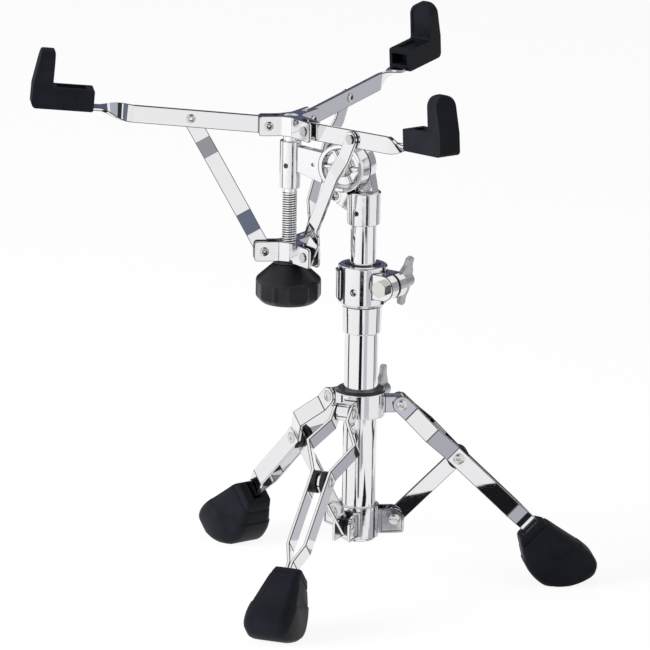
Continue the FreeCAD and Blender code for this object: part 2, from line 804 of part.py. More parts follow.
def foot():
    uppersides = [boot_rise * share for share in boot_rise_shares]
    widths = [boot_width * share for share in boot_width_shares]
    corners = [boot_corner * share for share in boot_corner_shares]
    rows = zip(boot_stations, boot_undersides, uppersides, widths, corners)
    body = Part.makeLoft([boot_section(*row) for row in rows], True, False)
    thick = 2 * leg_strip_thick + 4 * seat_gap
    width = leg_strip_width + 2 * seat_gap
    socket = Part.makeBox(leg_strip_length + seat_gap, thick, width, Vector(0, -thick / 2, -width / 2))
    body = placed(body.cut(socket), leg_place)
    reach = 2 * boot_stations[-1]
    floor = Part.makeBox(2 * reach, 2 * reach, reach, Vector(-reach, -reach, -reach))
    return body.cut(floor)


# Upper tube and tilter post
def pin_place(azimuth, origin):
    return Placement(origin, Rotation(Z_AXIS, azimuth))


def roll_pin(inner_r, outer_r):
    """Hollow pin along X between two radii."""
    return ring(roll_pin_d / 2, roll_pin_bore / 2, outer_r - inner_r, Vector(inner_r, 0, 0), X_AXIS)


def pin_hole(outer_r):
    return cylinder(roll_pin_d / 2 + seat_gap, outer_r + overrun, Vector(0, 0, 0), X_AXIS)


post_pin_place = pin_place(post_pin_azimuth, Vector(0, 0, post_bottom_z + post_pin_height))


def upper_tube():
    start = Vector(0, 0, upper_tube_bottom_z)
    tube = ring(upper_tube_r, upper_tube_r - upper_tube_wall, upper_tube_length, start, Z_AXIS)
    return tube.cut(placed(pin_hole(upper_tube_d), post_pin_place))


def post_roll_pin():
    pin = roll_pin(upper_tube_r - upper_tube_wall, post_sleeve_d / 2 - roll_pin_recess)
    return placed(pin, post_pin_place)


def tilter_post():
    radius = post_sleeve_d / 2
    sleeve = turned([(0, post_bottom_z, 0), (radius, post_bottom_z, post_edge),
                     (radius, post_top_z, post_edge), (0, post_top_z, 0)])
    thick = post_plate_front + post_plate_back
    disc = cylinder(post_disc_d / 2, thick, Vector(post_disc_x, -post_plate_back, disc_z), Y_AXIS)
    web = plate([(-web_heel_x, post_bottom_z + web_heel_z, 0),
                 (web_toe_x, post_bottom_z + web_toe_z, web_round),
                 (web_tip_x, post_bottom_z + web_tip_z, web_round),
                 (post_disc_x + post_disc_d / 2, disc_z, 0), (post_disc_x, disc_z, 0),
                 (-web_neck_x, post_bottom_z + web_neck_z, 0)], -post_plate_back, post_plate_front)
    body = joined([sleeve, disc, web])
    socket = cylinder(upper_tube_r + seat_gap, post_socket_depth + seat_gap + overrun,
                      Vector(0, 0, post_bottom_z - overrun), Z_AXIS)
    bolt_hole = cylinder(tilt_bolt_d / 2 + seat_gap, 2 * post_disc_d,
                         Vector(post_disc_x, -post_disc_d, disc_z), Y_AXIS)
    pocket_floor = post_plate_front - lug_pocket_depth
    pocket = cylinder(lug_pocket_d / 2, overrun + lug_pocket_depth,
                      Vector(lug_screw_x, pocket_floor, post_bottom_z + lug_screw_z), Y_AXIS)
    screw_hole = cylinder(screw_d / 2 + seat_gap, 2 * post_disc_d,
                          Vector(lug_screw_x, -post_disc_d, post_bottom_z + lug_screw_z), Y_AXIS)
    disc_room = cylinder(disc_back_d / 2 + side_gap, post_sleeve_d,
                         Vector(post_disc_x, post_plate_front, disc_z), Y_AXIS)
    body = placed(body.cut([socket, bolt_hole, pocket, screw_hole, disc_room]), tilter_place)
    return body.cut(placed(pin_hole(post_sleeve_d), post_pin_place))


def tilter_lug_screw():
    screw = hub_screw(-post_plate_back, post_plate_front - lug_pocket_depth)
    screw.translate(Vector(lug_screw_x, 0, post_bottom_z + lug_screw_z))
    return placed(screw, tilter_place)


def tilt_friction_washer():
    washer = ring(tilt_washer_d / 2, tilt_bolt_d / 2 + seat_gap, tilt_washer_thick,
                  Vector(post_disc_x, post_plate_front + seat_gap, disc_z), Y_AXIS)
    return placed(washer, tilter_place)


def tilt_bolt():
    seat = Vector(post_disc_x, tilt_hub_y + side_gap, disc_z)
    head = hexagon(hex_flats, hex_head_height)
    ball = turned([(0, 0, 0), (hex_flats * math.sqrt(1 / 3), 0, 0),
                   (hex_flats * math.sqrt(1 / 3), hex_head_height, clamp_edge), (0, hex_head_height, 0)])
    head = placed(head.common(ball), along(seat, Y_AXIS))
    back = post_plate_back + side_gap + tilt_wing_height
    shank = cylinder(tilt_bolt_d / 2, seat.y + back, Vector(post_disc_x, -back, disc_z), Y_AXIS)
    return placed(joined([head, shank]), tilter_place)


def tilt_wing_nut():
    nut = wing(tilt_wing_span, tilt_wing_height, tilt_bolt_d)
    turn = Rotation(Z_AXIS, X_AXIS, -Y_AXIS, "ZXY")
    start = Vector(post_disc_x, -post_plate_back - side_gap, disc_z)
    return placed(placed(nut, Placement(start, turn)), tilter_place)


# Basket holder with its rod
def basket_holder():
    bore = tilt_bolt_d / 2 + running_gap
    floor = disc_thick - dish_depth
    hub_face = disc_thick - dish_hub_depth
    disc = turned([(bore, 0, 0), (disc_back_d / 2, 0, 0), (disc_front_d / 2, disc_thick, disc_round),
                   (dish_d / 2, disc_thick, 0), (dish_floor_d / 2, floor, 0), (dish_hub_d / 2, floor, 0),
                   (dish_hub_d / 2, hub_face, 0), (bore, hub_face, 0)])
    rib_length = (dish_d - dish_hub_d) / 2
    rib = Part.makeBox(rib_length, dish_rib_thick, dish_rib_depth,
                       Vector(dish_hub_d / 2 - running_gap, -dish_rib_thick / 2, floor - running_gap))
    ribs = []
    for k in range(dish_rib_count):
        ribs.append(placed(rib, Placement(Vector(0, 0, 0), Rotation(Z_AXIS, 360 / dish_rib_count * k))))
    disc = joined([disc] + ribs)
    centre = Vector(post_disc_x, disc_back_y, disc_z)
    disc = placed(disc, Placement(centre, Rotation(Z_AXIS, Y_AXIS)))
    root = post_disc_x + (dish_d + holder_arm_inset) / 2
    arm = plate([(root, disc_z - holder_arm_disc_bottom, 0), (rod_reach, disc_z - holder_arm_bottom, 0),
                 (rod_reach, disc_z + holder_arm_top, 0), (root, disc_z + holder_arm_disc_top, 0)],
                disc_back_y + holder_arm_inset, disc_front_y - holder_arm_inset)
    keep_out = cylinder(dish_d / 2, disc_thick + overrun, centre, Y_AXIS)
    arm = arm.cut(keep_out)
    low = disc_z - rod_sleeve_bottom
    high = disc_z + rod_sleeve_top
    radius = rod_sleeve_d / 2
    sleeve = turned([(0, low, 0), (radius, low, rod_sleeve_edge),
                     (radius, high, rod_sleeve_edge), (0, high, 0)])
    sleeve.translate(Vector(rod_reach, disc_middle_y, 0))
    body = joined([disc, arm, sleeve])
    rod_foot = Vector(rod_reach, disc_middle_y, 0)
    rod_bore = cylinder(rod_d / 2 + seat_gap, 2 * upper_pivot_z, rod_foot, Z_AXIS)
    dot = cylinder(holder_hole_d / 2, holder_hole_depth + overrun,
                   Vector(holder_hole_x, disc_front_y - holder_hole_depth, disc_z), Y_AXIS)
    pin = placed(pin_hole(rod_sleeve_d), holder_pin_place)
    return placed(body.cut([rod_bore, dot, pin]), tilter_place)


holder_pin_place = pin_place(90, Vector(rod_reach, disc_middle_y, disc_z + holder_pin_z))


def holder_roll_pin():
    pin = roll_pin(rod_d / 2 - thread_pitch, rod_sleeve_d / 2 - roll_pin_recess)
    return placed(placed(pin, holder_pin_place), tilter_place)


def basket_rod():
    radius = rod_d / 2
    top = upper_pivot_z + hub_half - rod_top_recess
    bottom = lower_pivot_z - rod_below_hub
    thread_top = disc_z - thread_top_below_disc
    count = int((thread_top - bottom) / thread_pitch)
    corners = [(0, bottom, 0)]
    for k in range(count):
        corners.append((thread_d / 2 - thread_depth, bottom + thread_pitch * k, 0))
        corners.append((thread_d / 2, bottom + thread_pitch * (k + 1 / 2), 0))
    end = bottom + thread_pitch * count
    corners += [(thread_d / 2 - thread_depth, end, 0), (radius, end + thread_depth, 0),
                (radius, top, thread_depth), (0, top, 0)]
    rod = turned(corners)
    rod.translate(rod_point)
    pin = placed(placed(pin_hole(rod_d), holder_pin_place), tilter_place)
    depth = cylinder(rod_d / 2 - thread_pitch, rod_d, Vector(rod_point.x, rod_point.y, disc_z), Z_AXIS)
    return rod.cut(pin.cut(depth))


# Basket hubs, arms, struts and pads
def hub_plan(half, reach):
    """Outline of a hub seen from above: three stubs, joined by flat webs between them."""
    order = sorted(range(limb_count), key=lambda k: arm_azimuths[k])
    corners = []
    for k, following in zip(order, order[1:] + order[:1]):
        here = arm_azimuths[k]
        spread = (arm_azimuths[following] - here) % 360 / 2
        stub = reach + hub_shifts[k]
        bend = (hub_web_r - half * sine(spread)) / cosine(spread)
        turns = ((here, -1, stub, 0), (here, 1, stub, 0), (here, 1, bend, hub_bend_round),
                 (here + 2 * spread, -1, bend, hub_bend_round))
        for base, side, x, radius in turns:
            y = side * half
            corners.append((x * cosine(base) - y * sine(base), x * sine(base) + y * cosine(base), radius))
    return corners


def hub(pivot_r, pivot_z, bore_d):
    half = hub_slot / 2 + hub_cheek
    low = pivot_z - hub_half
    high = pivot_z + hub_half
    body = plate(hub_plan(half, pivot_r), 0, hub_height)
    body = placed(body, Placement(Vector(0, 0, high), Rotation(X_AXIS, -Z_AXIS, Y_AXIS, "XYZ")))
    cutters = [cylinder(bore_d / 2, hub_height + 2 * overrun, Vector(0, 0, low - overrun), Z_AXIS)]
    for azimuth, shift in zip(arm_azimuths, hub_shifts):
        place = Placement(Vector(0, 0, 0), Rotation(Z_AXIS, azimuth))
        pivot = pivot_r + shift
        end = pivot + hub_past_pivot
        ear = plate([(hub_slot_start, low, 0), (end, low, hub_round), (end, high, hub_round),
                     (hub_slot_start, high, 0)], -half, half)
        slot = Part.makeBox(end, hub_slot, hub_height + 2 * overrun,
                            Vector(hub_slot_start + shift, -hub_slot / 2, low - overrun))
        pin_start = Vector(pivot, -half - overrun, pivot_z)
        pin = cylinder(screw_d / 2 + seat_gap, 2 * half + 2 * overrun, pin_start, Y_AXIS)
        body = body.fuse(placed(ear, place))
        cutters += [placed(slot, place), placed(pin, place)]
    body = body.removeSplitter().cut(cutters)
    body.translate(rod_point)
    return body


def arm_turn(k):
    """Frame of one arm: its X runs out along the arm, from a point shifted off the rod."""
    turn = Rotation(Z_AXIS, arm_azimuths[k])
    return Placement(rod_point + turn.multVec(Vector(hub_shifts[k], 0, 0)), turn)


def round_hub(shape):
    """One copy for each arm, as one compound of separate solids."""
    return Part.makeCompound([placed(shape, arm_turn(k)) for k in range(limb_count)])


def hub_screws(pivot_r, pivot_z):
    half = hub_slot / 2 + hub_cheek
    screws = []
    for k, side in enumerate(strut_sides):
        screw = sided(hub_screw(-half, half), side)
        screw.translate(Vector(pivot_r, 0, pivot_z))
        screws.append(placed(screw, arm_turn(k)))
    return Part.makeCompound(screws)


def hub_washers(pivot_r, pivot_z, thick):
    low = thick / 2 + side_gap
    washer = ring(arm_thick + screw_d / 2, screw_d / 2 + seat_gap, hub_slot / 2 - seat_gap - low,
                  Vector(pivot_r, low, pivot_z), Y_AXIS)
    solids = []
    for side in (washer, washer.mirror(Vector(0, 0, 0), Y_AXIS)):
        solids += round_hub(side).Solids
    return Part.makeCompound(solids)


arm_place = Placement(Vector(upper_pivot_r, 0, upper_pivot_z), Rotation(Y_AXIS, -arm_rise))
strut_pivot = (upper_pivot_r + arm_link * cosine(arm_rise), upper_pivot_z + arm_link * sine(arm_rise))
strut_place = Placement(Vector(strut_pivot[0], 0, strut_pivot[1]), Rotation(Y_AXIS, 90 + strut_slope))
strip_z = upper_pivot_z + arm_flat_rise
strut_outer_y = arm_thick / 2 + side_gap + strut_thick


def arm_section(radius, height, lean, twist):
    """Four corners of the arm's strip, leaning with the arm and twisted about its length."""
    place = Placement(Vector(radius, 0, height), Rotation(Y_AXIS, -lean).multiply(Rotation(X_AXIS, twist)))
    corners = []
    for y, z in ((1, 1), (-1, 1), (-1, -1), (1, -1)):
        corners.append(place.multVec(Vector(0, y * arm_thick / 2, z * arm_width / 2)))
    return Part.makePolygon(corners + corners[:1])


def basket_arm():
    start_rise = (arm_twist_from - upper_pivot_r) * math.tan(math.radians(arm_rise))
    sections = [arm_section(upper_pivot_r, upper_pivot_z, arm_rise, 0)]
    for step in range(arm_twist_steps + 1):
        share = step / arm_twist_steps
        radius = arm_twist_from + (arm_twist_to - arm_twist_from) * share
        height = upper_pivot_z + start_rise + (arm_flat_rise - start_rise) * share
        lean = arm_rise + (pad_rise - arm_rise) * share
        sections.append(arm_section(radius, height, lean, 90 * share))
    end_z = strip_z + (arm_end_r - arm_twist_to) * math.tan(math.radians(pad_rise))
    sections.append(arm_section(arm_end_r, end_z, pad_rise, 90))
    strip = Part.makeLoft(sections, True, True)
    eye = cylinder(arm_width / 2, arm_thick, Vector(upper_pivot_r, -arm_thick / 2, upper_pivot_z), Y_AXIS)
    strip = joined([strip, eye])
    strip = strip.cut(hole(screw_d, upper_pivot_r, upper_pivot_z))
    second_start = Vector(strut_pivot[0], -arm_link, strut_pivot[1])
    second = cylinder(screw_d / 2 + seat_gap, 2 * arm_link, second_start, Y_AXIS)
    return strip.cut(second)


def sided(shape, side):
    """Shape made for struts at the lower Y, mirrored where they are at the higher Y."""
    if side < 0:
        return shape
    return shape.mirror(Vector(0, 0, 0), Y_AXIS)


def strut_screw(side):
    screw = sided(hub_screw(-strut_outer_y - side_gap, arm_thick / 2), side)
    screw.translate(Vector(strut_pivot[0], 0, strut_pivot[1]))
    return screw


def basket_strut(side):
    top_y = strut_thick / 2 - strut_outer_y
    end = strut_length + strut_tail
    upper_bend = strut_upper_straight + strut_upper_jog
    lower_bend = strut_length - strut_lower_straight
    path = [(-strut_width / 2, top_y), (strut_upper_straight, top_y), (upper_bend, -strut_bow),
            (lower_bend - strut_lower_jog, -strut_bow), (lower_bend, 0), (end, 0)]
    strip = bent_strip(path, strut_thick, strut_width)
    radius = strut_width / 2
    shape = plate([(-radius, -radius, radius), (end, -radius, radius), (end, radius, radius),
                   (-radius, radius, radius)], -strut_length, strut_length)
    strip = strip.common(shape)
    strip = strip.cut(hole(screw_d, 0, 0))
    slot = []
    for share in (0, 1 / 4, 1 / 2):
        slide, drop = pin_shift(share)
        slot.append(cylinder(screw_d / 2 + slot_gap, 2 * strut_bow,
                             Vector(strut_length + slide, -strut_bow, drop), Y_AXIS))
    far_slide, far_drop = pin_shift(1 / 2)
    length = math.hypot(far_slide, far_drop)
    box = Part.makeBox(length, 2 * strut_bow, screw_d + 2 * slot_gap,
                       Vector(0, -strut_bow, -screw_d / 2 - slot_gap))
    angle = math.degrees(math.atan2(-far_drop, far_slide))
    slot.append(placed(box, Placement(Vector(strut_length, 0, 0), Rotation(Y_AXIS, angle))))
    return placed(sided(strip.cut(slot), side), strut_place)


def basket_pad():
    bottom = strip_z - arm_thick / 2 - pad_below_strip
    shelf = bottom + pad_below_strip + pad_shelf_rise
    top = bottom + pad_below_strip + pad_top_rise
    side = [(pad_inner_r, bottom, pad_corner), (pad_outer_r, bottom, pad_corner),
            (pad_outer_r, shelf, pad_back_round), (pad_top_outer_r, top, pad_corner),
            (pad_face_r, top, pad_corner),
            (pad_face_r, shelf, pad_corner), (pad_inner_r, shelf, pad_corner)]
    half = pad_width / 2
    body = plate(side, -half, half)
    arch = [Vector(0, -half, bottom), Vector(0, half, bottom), Vector(0, half, top - half)]
    low_edges = Part.makePolygon([arch[2], arch[1], arch[0], Vector(0, -half, top - half)]).Edges
    crown = Part.Arc(Vector(0, -half, top - half), Vector(0, 0, top), arch[2]).toShape()
    face = Part.Face(Part.Wire(low_edges + [crown]))
    body = body.common(face.extrude(Vector(pad_outer_r + overrun, 0, 0)))
    outer = []
    for edge in body.Edges:
        ends = [vertex.Point for vertex in edge.Vertexes]
        upright = abs(ends[0].z - ends[-1].z) > pad_corner and abs(ends[0].y) > half - least_length
        if upright and min(point.x for point in ends) > pad_top_outer_r - least_length:
            outer.append(edge)
    channel_low = shelf - pad_channel_depth
    channel_start = Vector(pad_inner_r + pad_channel_lead, -pad_channel_width / 2, channel_low)
    channel_length = pad_face_r - pad_inner_r - 2 * pad_channel_lead
    channel = Part.makeBox(channel_length, pad_channel_width, overrun + pad_channel_depth, channel_start)
    strip_end = arm_twist_to + (arm_end_r - arm_twist_to) / cosine(pad_rise)
    slot_length = strip_end + seat_gap - pad_inner_r + overrun
    slot_width = arm_width + 2 * seat_gap
    slot_start = Vector(pad_inner_r - overrun, -slot_width / 2, strip_z - arm_thick / 2 - seat_gap)
    slot = Part.makeBox(slot_length, slot_width, arm_thick + 2 * seat_gap, slot_start)
    socket_low = strip_z + arm_thick / 2 + pad_socket_lift
    socket_start = Vector(pad_inner_r - overrun, -pad_socket_width / 2, socket_low)
    socket = Part.makeBox(pad_socket_depth + overrun, pad_socket_width, pad_socket_height, socket_start)
    body = body.makeFillet(pad_edge, outer).cut([channel, slot, socket])
    pivot = Vector(arm_twist_to, 0, strip_z)
    body.rotate(pivot, Y_AXIS, -pad_rise)
    return body


# Grip knob
def grip_knob():
    top = knob_top_z()
    low = top - knob_height
    radius = knob_d / 2
    body = turned([(0, low, 0), (knob_foot_d / 2, low, knob_edge), (radius, low + knob_foot, knob_edge),
                   (radius, top - knob_shoulder, knob_edge), (knob_top_d / 2, top, knob_edge), (0, top, 0)])
    flat_low = low - overrun
    flat_high = top - knob_flat_drop
    for k in range(knob_flat_count):
        flat = Part.makeBox(knob_d, knob_d, flat_high - flat_low,
                            Vector(radius * knob_flat_share, -radius, flat_low))
        turn = Rotation(Z_AXIS, 360 / knob_flat_count * k)
        body = body.cut(placed(flat, Placement(Vector(0, 0, 0), turn)))
    bore = cylinder(rod_d / 2 + side_gap, 2 * knob_height, Vector(0, 0, low - overrun), Z_AXIS)
    nut = hexagon(knob_nut_flats + 2 * seat_gap, knob_nut_lift + knob_nut_height + overrun)
    nut.translate(Vector(0, 0, low - overrun))
    body = body.cut([bore, nut])
    body.translate(rod_point)
    return body


def knob_top_z():
    return lower_pivot_z - hub_half - seat_gap - knob_washer_gap


def knob_nut():
    body = hexagon(knob_nut_flats, knob_nut_height)
    body = body.cut(cylinder(rod_d / 2 + running_gap, 2 * knob_nut_height, Vector(0, 0, -overrun), Z_AXIS))
    body.translate(rod_point + Vector(0, 0, knob_top_z() - knob_height + knob_nut_lift))
    return body


def knob_washer():
    start = rod_point + Vector(0, 0, knob_top_z() + side_gap)
    return ring(knob_washer_d / 2, rod_d / 2 + slide_gap, knob_washer_thick, start, Z_AXIS)


def all_pieces():
    """Every node of the stand with its shape."""
    pieces = {
        "base_tube": base_tube(),
        "height_clamp": height_clamp(),
        "height_clamp_bolt": height_clamp_bolt(),
        "height_wing_nut": height_wing_nut(),
        "height_bush": height_bush(),
        "bottom_bracket": bottom_bracket(),
        "bracket_pins": bracket_pins(),
        "bracket_spacers": bracket_spacers(),
        "tripod_collar": tripod_collar(),
        "collar_bush": collar_bush(),
        "collar_wing_bolt": collar_wing_bolt(),
        "upper_tube": upper_tube(),
        "tilter_post": tilter_post(),
        "post_roll_pin": post_roll_pin(),
        "tilt_bolt": tilt_bolt(),
        "tilt_friction_washer": tilt_friction_washer(),
        "tilter_lug_screw": tilter_lug_screw(),
        "tilt_wing_nut": tilt_wing_nut(),
        "basket_holder": basket_holder(),
        "holder_roll_pin": holder_roll_pin(),
        "basket_rod": basket_rod(),
        "upper_hub": hub(upper_pivot_r, upper_pivot_z, rod_d + 2 * seat_gap),
        "upper_hub_screws": hub_screws(upper_pivot_r, upper_pivot_z),
        "upper_hub_washers": hub_washers(upper_pivot_r, upper_pivot_z, arm_thick),
        "lower_hub": hub(lower_pivot_r, lower_pivot_z, rod_d + 2 * slide_gap),
        "lower_hub_screws": hub_screws(lower_pivot_r, lower_pivot_z),
        "lower_hub_washers": hub_washers(lower_pivot_r, lower_pivot_z, strut_thick),
        "knob_washer": knob_washer(),
        "grip_knob": grip_knob(),
        "knob_nut": knob_nut(),
    }
    leg_parts = {"leg_{}_strip_one": leg_strip(1), "leg_{}_strip_two": leg_strip(-1), "foot_{}": foot(),
                 "leg_rivets_{}": leg_rivets(), "brace_bumpers_{}": brace_bumpers(),
                 "leg_brace_{}": leg_brace()}
    for k, name in enumerate(leg_names):
        for pattern, shape in leg_parts.items():
            pieces[pattern.format(name)] = placed(shape, leg_turn(k))
    for k, name in enumerate(arm_names):
        side = strut_sides[k]
        arm_parts = {"basket_arm_{}": basket_arm(), "basket_pad_{}": basket_pad(),
                     "strut_screw_{}": strut_screw(side), "basket_strut_{}": basket_strut(side)}
        for pattern, shape in arm_parts.items():
            pieces[pattern.format(name)] = placed(shape, arm_turn(k))
    return pieces


os.makedirs("parts", exist_ok=True)
for node, shape in all_pieces().items():
    shape.exportStep("parts/" + node + ".step")
    print(node, len(shape.Solids), shape.isValid(), round(shape.Volume))
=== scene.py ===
# %% [markdown]
# A snare drum stand is almost all chrome and black rubber. The machined and bent pieces come from the
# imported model, where their sizes are exact, so this script only dresses them: it loads that model, sets
# up a white studio, gives every piece its finish, and rebuilds the moulded rubber, the twisted arms and
# the thread, where a mesh says more than a solid.

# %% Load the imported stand
import json
import math

import bmesh
import bpy
from mathutils import Matrix, Vector


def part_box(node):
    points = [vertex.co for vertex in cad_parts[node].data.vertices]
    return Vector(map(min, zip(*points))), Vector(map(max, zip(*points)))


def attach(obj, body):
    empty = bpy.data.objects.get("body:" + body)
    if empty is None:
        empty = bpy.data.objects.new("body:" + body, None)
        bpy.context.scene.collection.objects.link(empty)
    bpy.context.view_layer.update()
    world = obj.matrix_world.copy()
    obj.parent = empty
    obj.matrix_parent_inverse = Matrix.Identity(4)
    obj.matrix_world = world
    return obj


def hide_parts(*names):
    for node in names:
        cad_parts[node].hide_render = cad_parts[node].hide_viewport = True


mm = 0.001
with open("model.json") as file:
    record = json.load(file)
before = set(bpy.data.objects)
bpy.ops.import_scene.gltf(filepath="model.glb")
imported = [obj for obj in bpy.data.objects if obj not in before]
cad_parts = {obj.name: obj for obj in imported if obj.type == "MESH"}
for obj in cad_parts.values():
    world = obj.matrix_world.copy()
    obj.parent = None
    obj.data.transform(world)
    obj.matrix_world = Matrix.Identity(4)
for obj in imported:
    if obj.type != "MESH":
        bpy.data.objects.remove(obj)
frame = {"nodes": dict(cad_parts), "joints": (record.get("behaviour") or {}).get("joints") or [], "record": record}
nodes = frame["nodes"]
joints = {joint["name"]: joint for joint in frame["joints"]}
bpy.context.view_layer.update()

# %% [markdown]
# The photograph was taken from far away with a long lens, a little above the stand and with a hair of
# roll. A lens this long keeps the tubes parallel. The numbers were solved from the tube, the feet and the
# hinges, so the render can be laid over the photograph. The focal length was solved in pixels of the
# photograph, and Blender wants millimetres on a sensor, so it is scaled by the sensor's width.

# %% Camera
photo_width_pixels = 650
focal_pixels = 8239.33
sensor_width = 36.0
camera_place = (-0.03086, -6.68803, 1.96492)
look_down, roll = 14.57, 0.99
camera_data = bpy.data.cameras.new("studio_camera")
camera_data.sensor_width = sensor_width
camera_data.lens = sensor_width * focal_pixels / photo_width_pixels
camera_data.clip_end = 50.0
scene = bpy.context.scene
camera = bpy.data.objects.new("studio_camera", camera_data)
scene.collection.objects.link(camera)
camera.location = camera_place
look = Matrix.Rotation(math.radians(90 - look_down), 4, "X") @ Matrix.Rotation(math.radians(roll), 4, "Z")
camera.rotation_euler = look.to_euler()
scene.camera = camera
print("camera lens", round(camera_data.lens, 1), "mm")

# %% [markdown]
# The stand was shot on white paper that runs on behind it. A lit white floor would turn grey with
# distance, so floor and tent are plain white to the camera and to mirrors, and work as paper and soft
# sky for every other ray. The floor keeps one tenth of its true paint in view, and that tenth is what
# shows the soft shadows under the boots.

# %% White floor and tent
white = (1, 1, 1, 1)
scene.view_settings.view_transform = "Standard"


def empty_material(name):
    material = bpy.data.materials.new(name)
    material.use_nodes = True
    material.node_tree.nodes.clear()
    return material, material.node_tree.nodes, material.node_tree.links


def shader_node(made, kind, inputs):
    """Shader node of a kind, with values for its inputs."""
    node = made.new(kind)
    for key, value in inputs.items():
        node.inputs[key].default_value = value
    return node


def flat_object(name, corners):
    """Object of one four-sided face."""
    mesh = bpy.data.meshes.new(name)
    mesh.from_pydata(corners, [], [(0, 1, 2, 3)])
    sheet = bpy.data.objects.new(name, mesh)
    scene.collection.objects.link(sheet)
    return sheet


def seen_straight(made, links):
    """One for the camera's own rays, reflections and rays through clear things, else nothing."""
    path = made.new("ShaderNodeLightPath")
    seen = path.outputs["Is Camera Ray"]
    for ray in ("Is Glossy Ray", "Is Transmission Ray"):
        either = made.new("ShaderNodeMath")
        either.operation = "MAXIMUM"
        links.new(seen, either.inputs[0])
        links.new(path.outputs[ray], either.inputs[1])
        seen = either.outputs[0]
    return seen


def mixed(made, links, share, first, second, output):
    """Blend of two shaders, joined to the output node."""
    mix = made.new("ShaderNodeMixShader")
    links.new(share, mix.inputs["Fac"])
    links.new(first.outputs[0], mix.inputs[1])
    links.new(second.outputs[0], mix.inputs[2])
    links.new(mix.outputs[0], made.new(output).inputs["Surface"])


def studio_floor(reach=14.0, drop=0.0006, paint_tone=0.93, white_share=0.9):
    corners = [(-reach, -reach, 0), (reach, -reach, 0), (reach, reach, 0), (-reach, reach, 0)]
    floor = flat_object("studio_floor", corners)
    floor.location.z = -drop
    material, made, links = empty_material("studio_floor")
    paint = shader_node(made, "ShaderNodeBsdfDiffuse", {"Color": (paint_tone, paint_tone, paint_tone, 1)})
    glow = shader_node(made, "ShaderNodeEmission", {"Color": white})
    share = shader_node(made, "ShaderNodeMath", {1: white_share})
    share.operation = "MULTIPLY"
    links.new(seen_straight(made, links), share.inputs[0])
    mixed(made, links, share.outputs[0], paint, glow, "ShaderNodeOutputMaterial")
    floor.data.materials.append(material)


def studio_world(sky=(0.9, 0.93, 1.0, 1), sky_strength=0.45):
    world = bpy.data.worlds.new("studio_tent")
    scene.world = world
    world.use_nodes = True
    made, links = world.node_tree.nodes, world.node_tree.links
    made.clear()
    soft = shader_node(made, "ShaderNodeBackground", {"Color": sky, "Strength": sky_strength})
    tent = shader_node(made, "ShaderNodeBackground", {"Color": white, "Strength": 1.0})
    mixed(made, links, seen_straight(made, links), soft, tent, "ShaderNodeOutputWorld")


studio_floor()
studio_world()
print("white floor and tent")

# %% [markdown]
# Three softboxes light the rubber and cast the shadows: a strong one from the left, a weak one from the
# right and one overhead. In polished chrome a lamp shows as a burnt-out patch with ragged edges, so
# the lamps are hidden from mirror reflections, and the metal is drawn by the white tent and the cards.

# %% Soft lamps
softboxes = [
    ("key_softbox", (-2.7, -1.3, 1.0), (0, 0, 0.3), (2.0, 1.4), 210),
    ("fill_softbox", (2.2, -1.2, 1.6), (0, 0, 0.25), (1.2, 1.6), 10),
    ("top_softbox", (0.1, 0.6, 3.0), (0, 0, 0.2), (1.8, 1.8), 12)]


def soft_lamp(name, place, aim, size, watts):
    data = bpy.data.lights.new(name, "AREA")
    data.shape = "RECTANGLE"
    data.size, data.size_y = size
    data.energy = watts
    lamp = bpy.data.objects.new(name, data)
    scene.collection.objects.link(lamp)
    lamp.location = place
    lamp.rotation_euler = (Vector(aim) - Vector(place)).to_track_quat("-Z", "Y").to_euler()
    lamp.visible_glossy = False


for softbox in softboxes:
    soft_lamp(*softbox)
print("softboxes:", ", ".join(softbox[0] for softbox in softboxes))

# %% [markdown]
# Chrome has no colour of its own: it shows the room. A white tent alone makes it look like plaster, so
# photographers hang dark cards just out of the picture, and their reflections draw the dark lines that
# say polished metal. The cards here are seen by reflections only. Cards on the floor are set by their
# bearing from the camera's side, because an upright tube shows a wedge of floor as an even line. The
# patches on the floor under the stand are painted shadow of the stand, seen only in its chrome.

# %% Dark cards
black = 0.012
blue_share = 1.1
ceiling = 2.4
card_lift = 0.003


def dark_card(name, corners, tone=black):
    card = flat_object(name, corners)
    material, made, links = empty_material(name)
    colour = tone if isinstance(tone, tuple) else (tone, tone, tone * blue_share)
    glow = shader_node(made, "ShaderNodeEmission", {"Color": (*colour, 1)})
    links.new(glow.outputs[0], made.new("ShaderNodeOutputMaterial").inputs["Surface"])
    card.data.materials.append(material)
    card.visible_camera = False
    card.visible_diffuse = False
    card.visible_shadow = False
    return card


def around(bearing, reach, height):
    """Point at a bearing from the camera's side, positive to the right of the picture."""
    turn = math.radians(bearing)
    return (reach * math.sin(turn), -reach * math.cos(turn), height)


def wedge_card(name, near, near_ends, far, far_ends, tone=black):
    """Wedge lying on the floor between two bearings at each of its ends."""
    corners = [around(bearing, near, 0.0) for bearing in near_ends]
    corners += [around(bearing, far, 0.0) for bearing in reversed(far_ends)]
    return dark_card(name, corners, tone)


def wall_card(name, ends, reach, low, high, tone):
    """Upright card between two bearings."""
    corners = [around(bearing, reach, low) for bearing in ends]
    corners += [around(bearing, reach, high) for bearing in reversed(ends)]
    return dark_card(name, corners, tone)


def level_card(name, corners, tone=black, height=0.0):
    """Level card with its corners given across and away from the camera."""
    return dark_card(name, [(across, away, height) for across, away in corners], tone)


def level_box(left, right, near, far):
    return [(left, near), (right, near), (right, far), (left, far)]


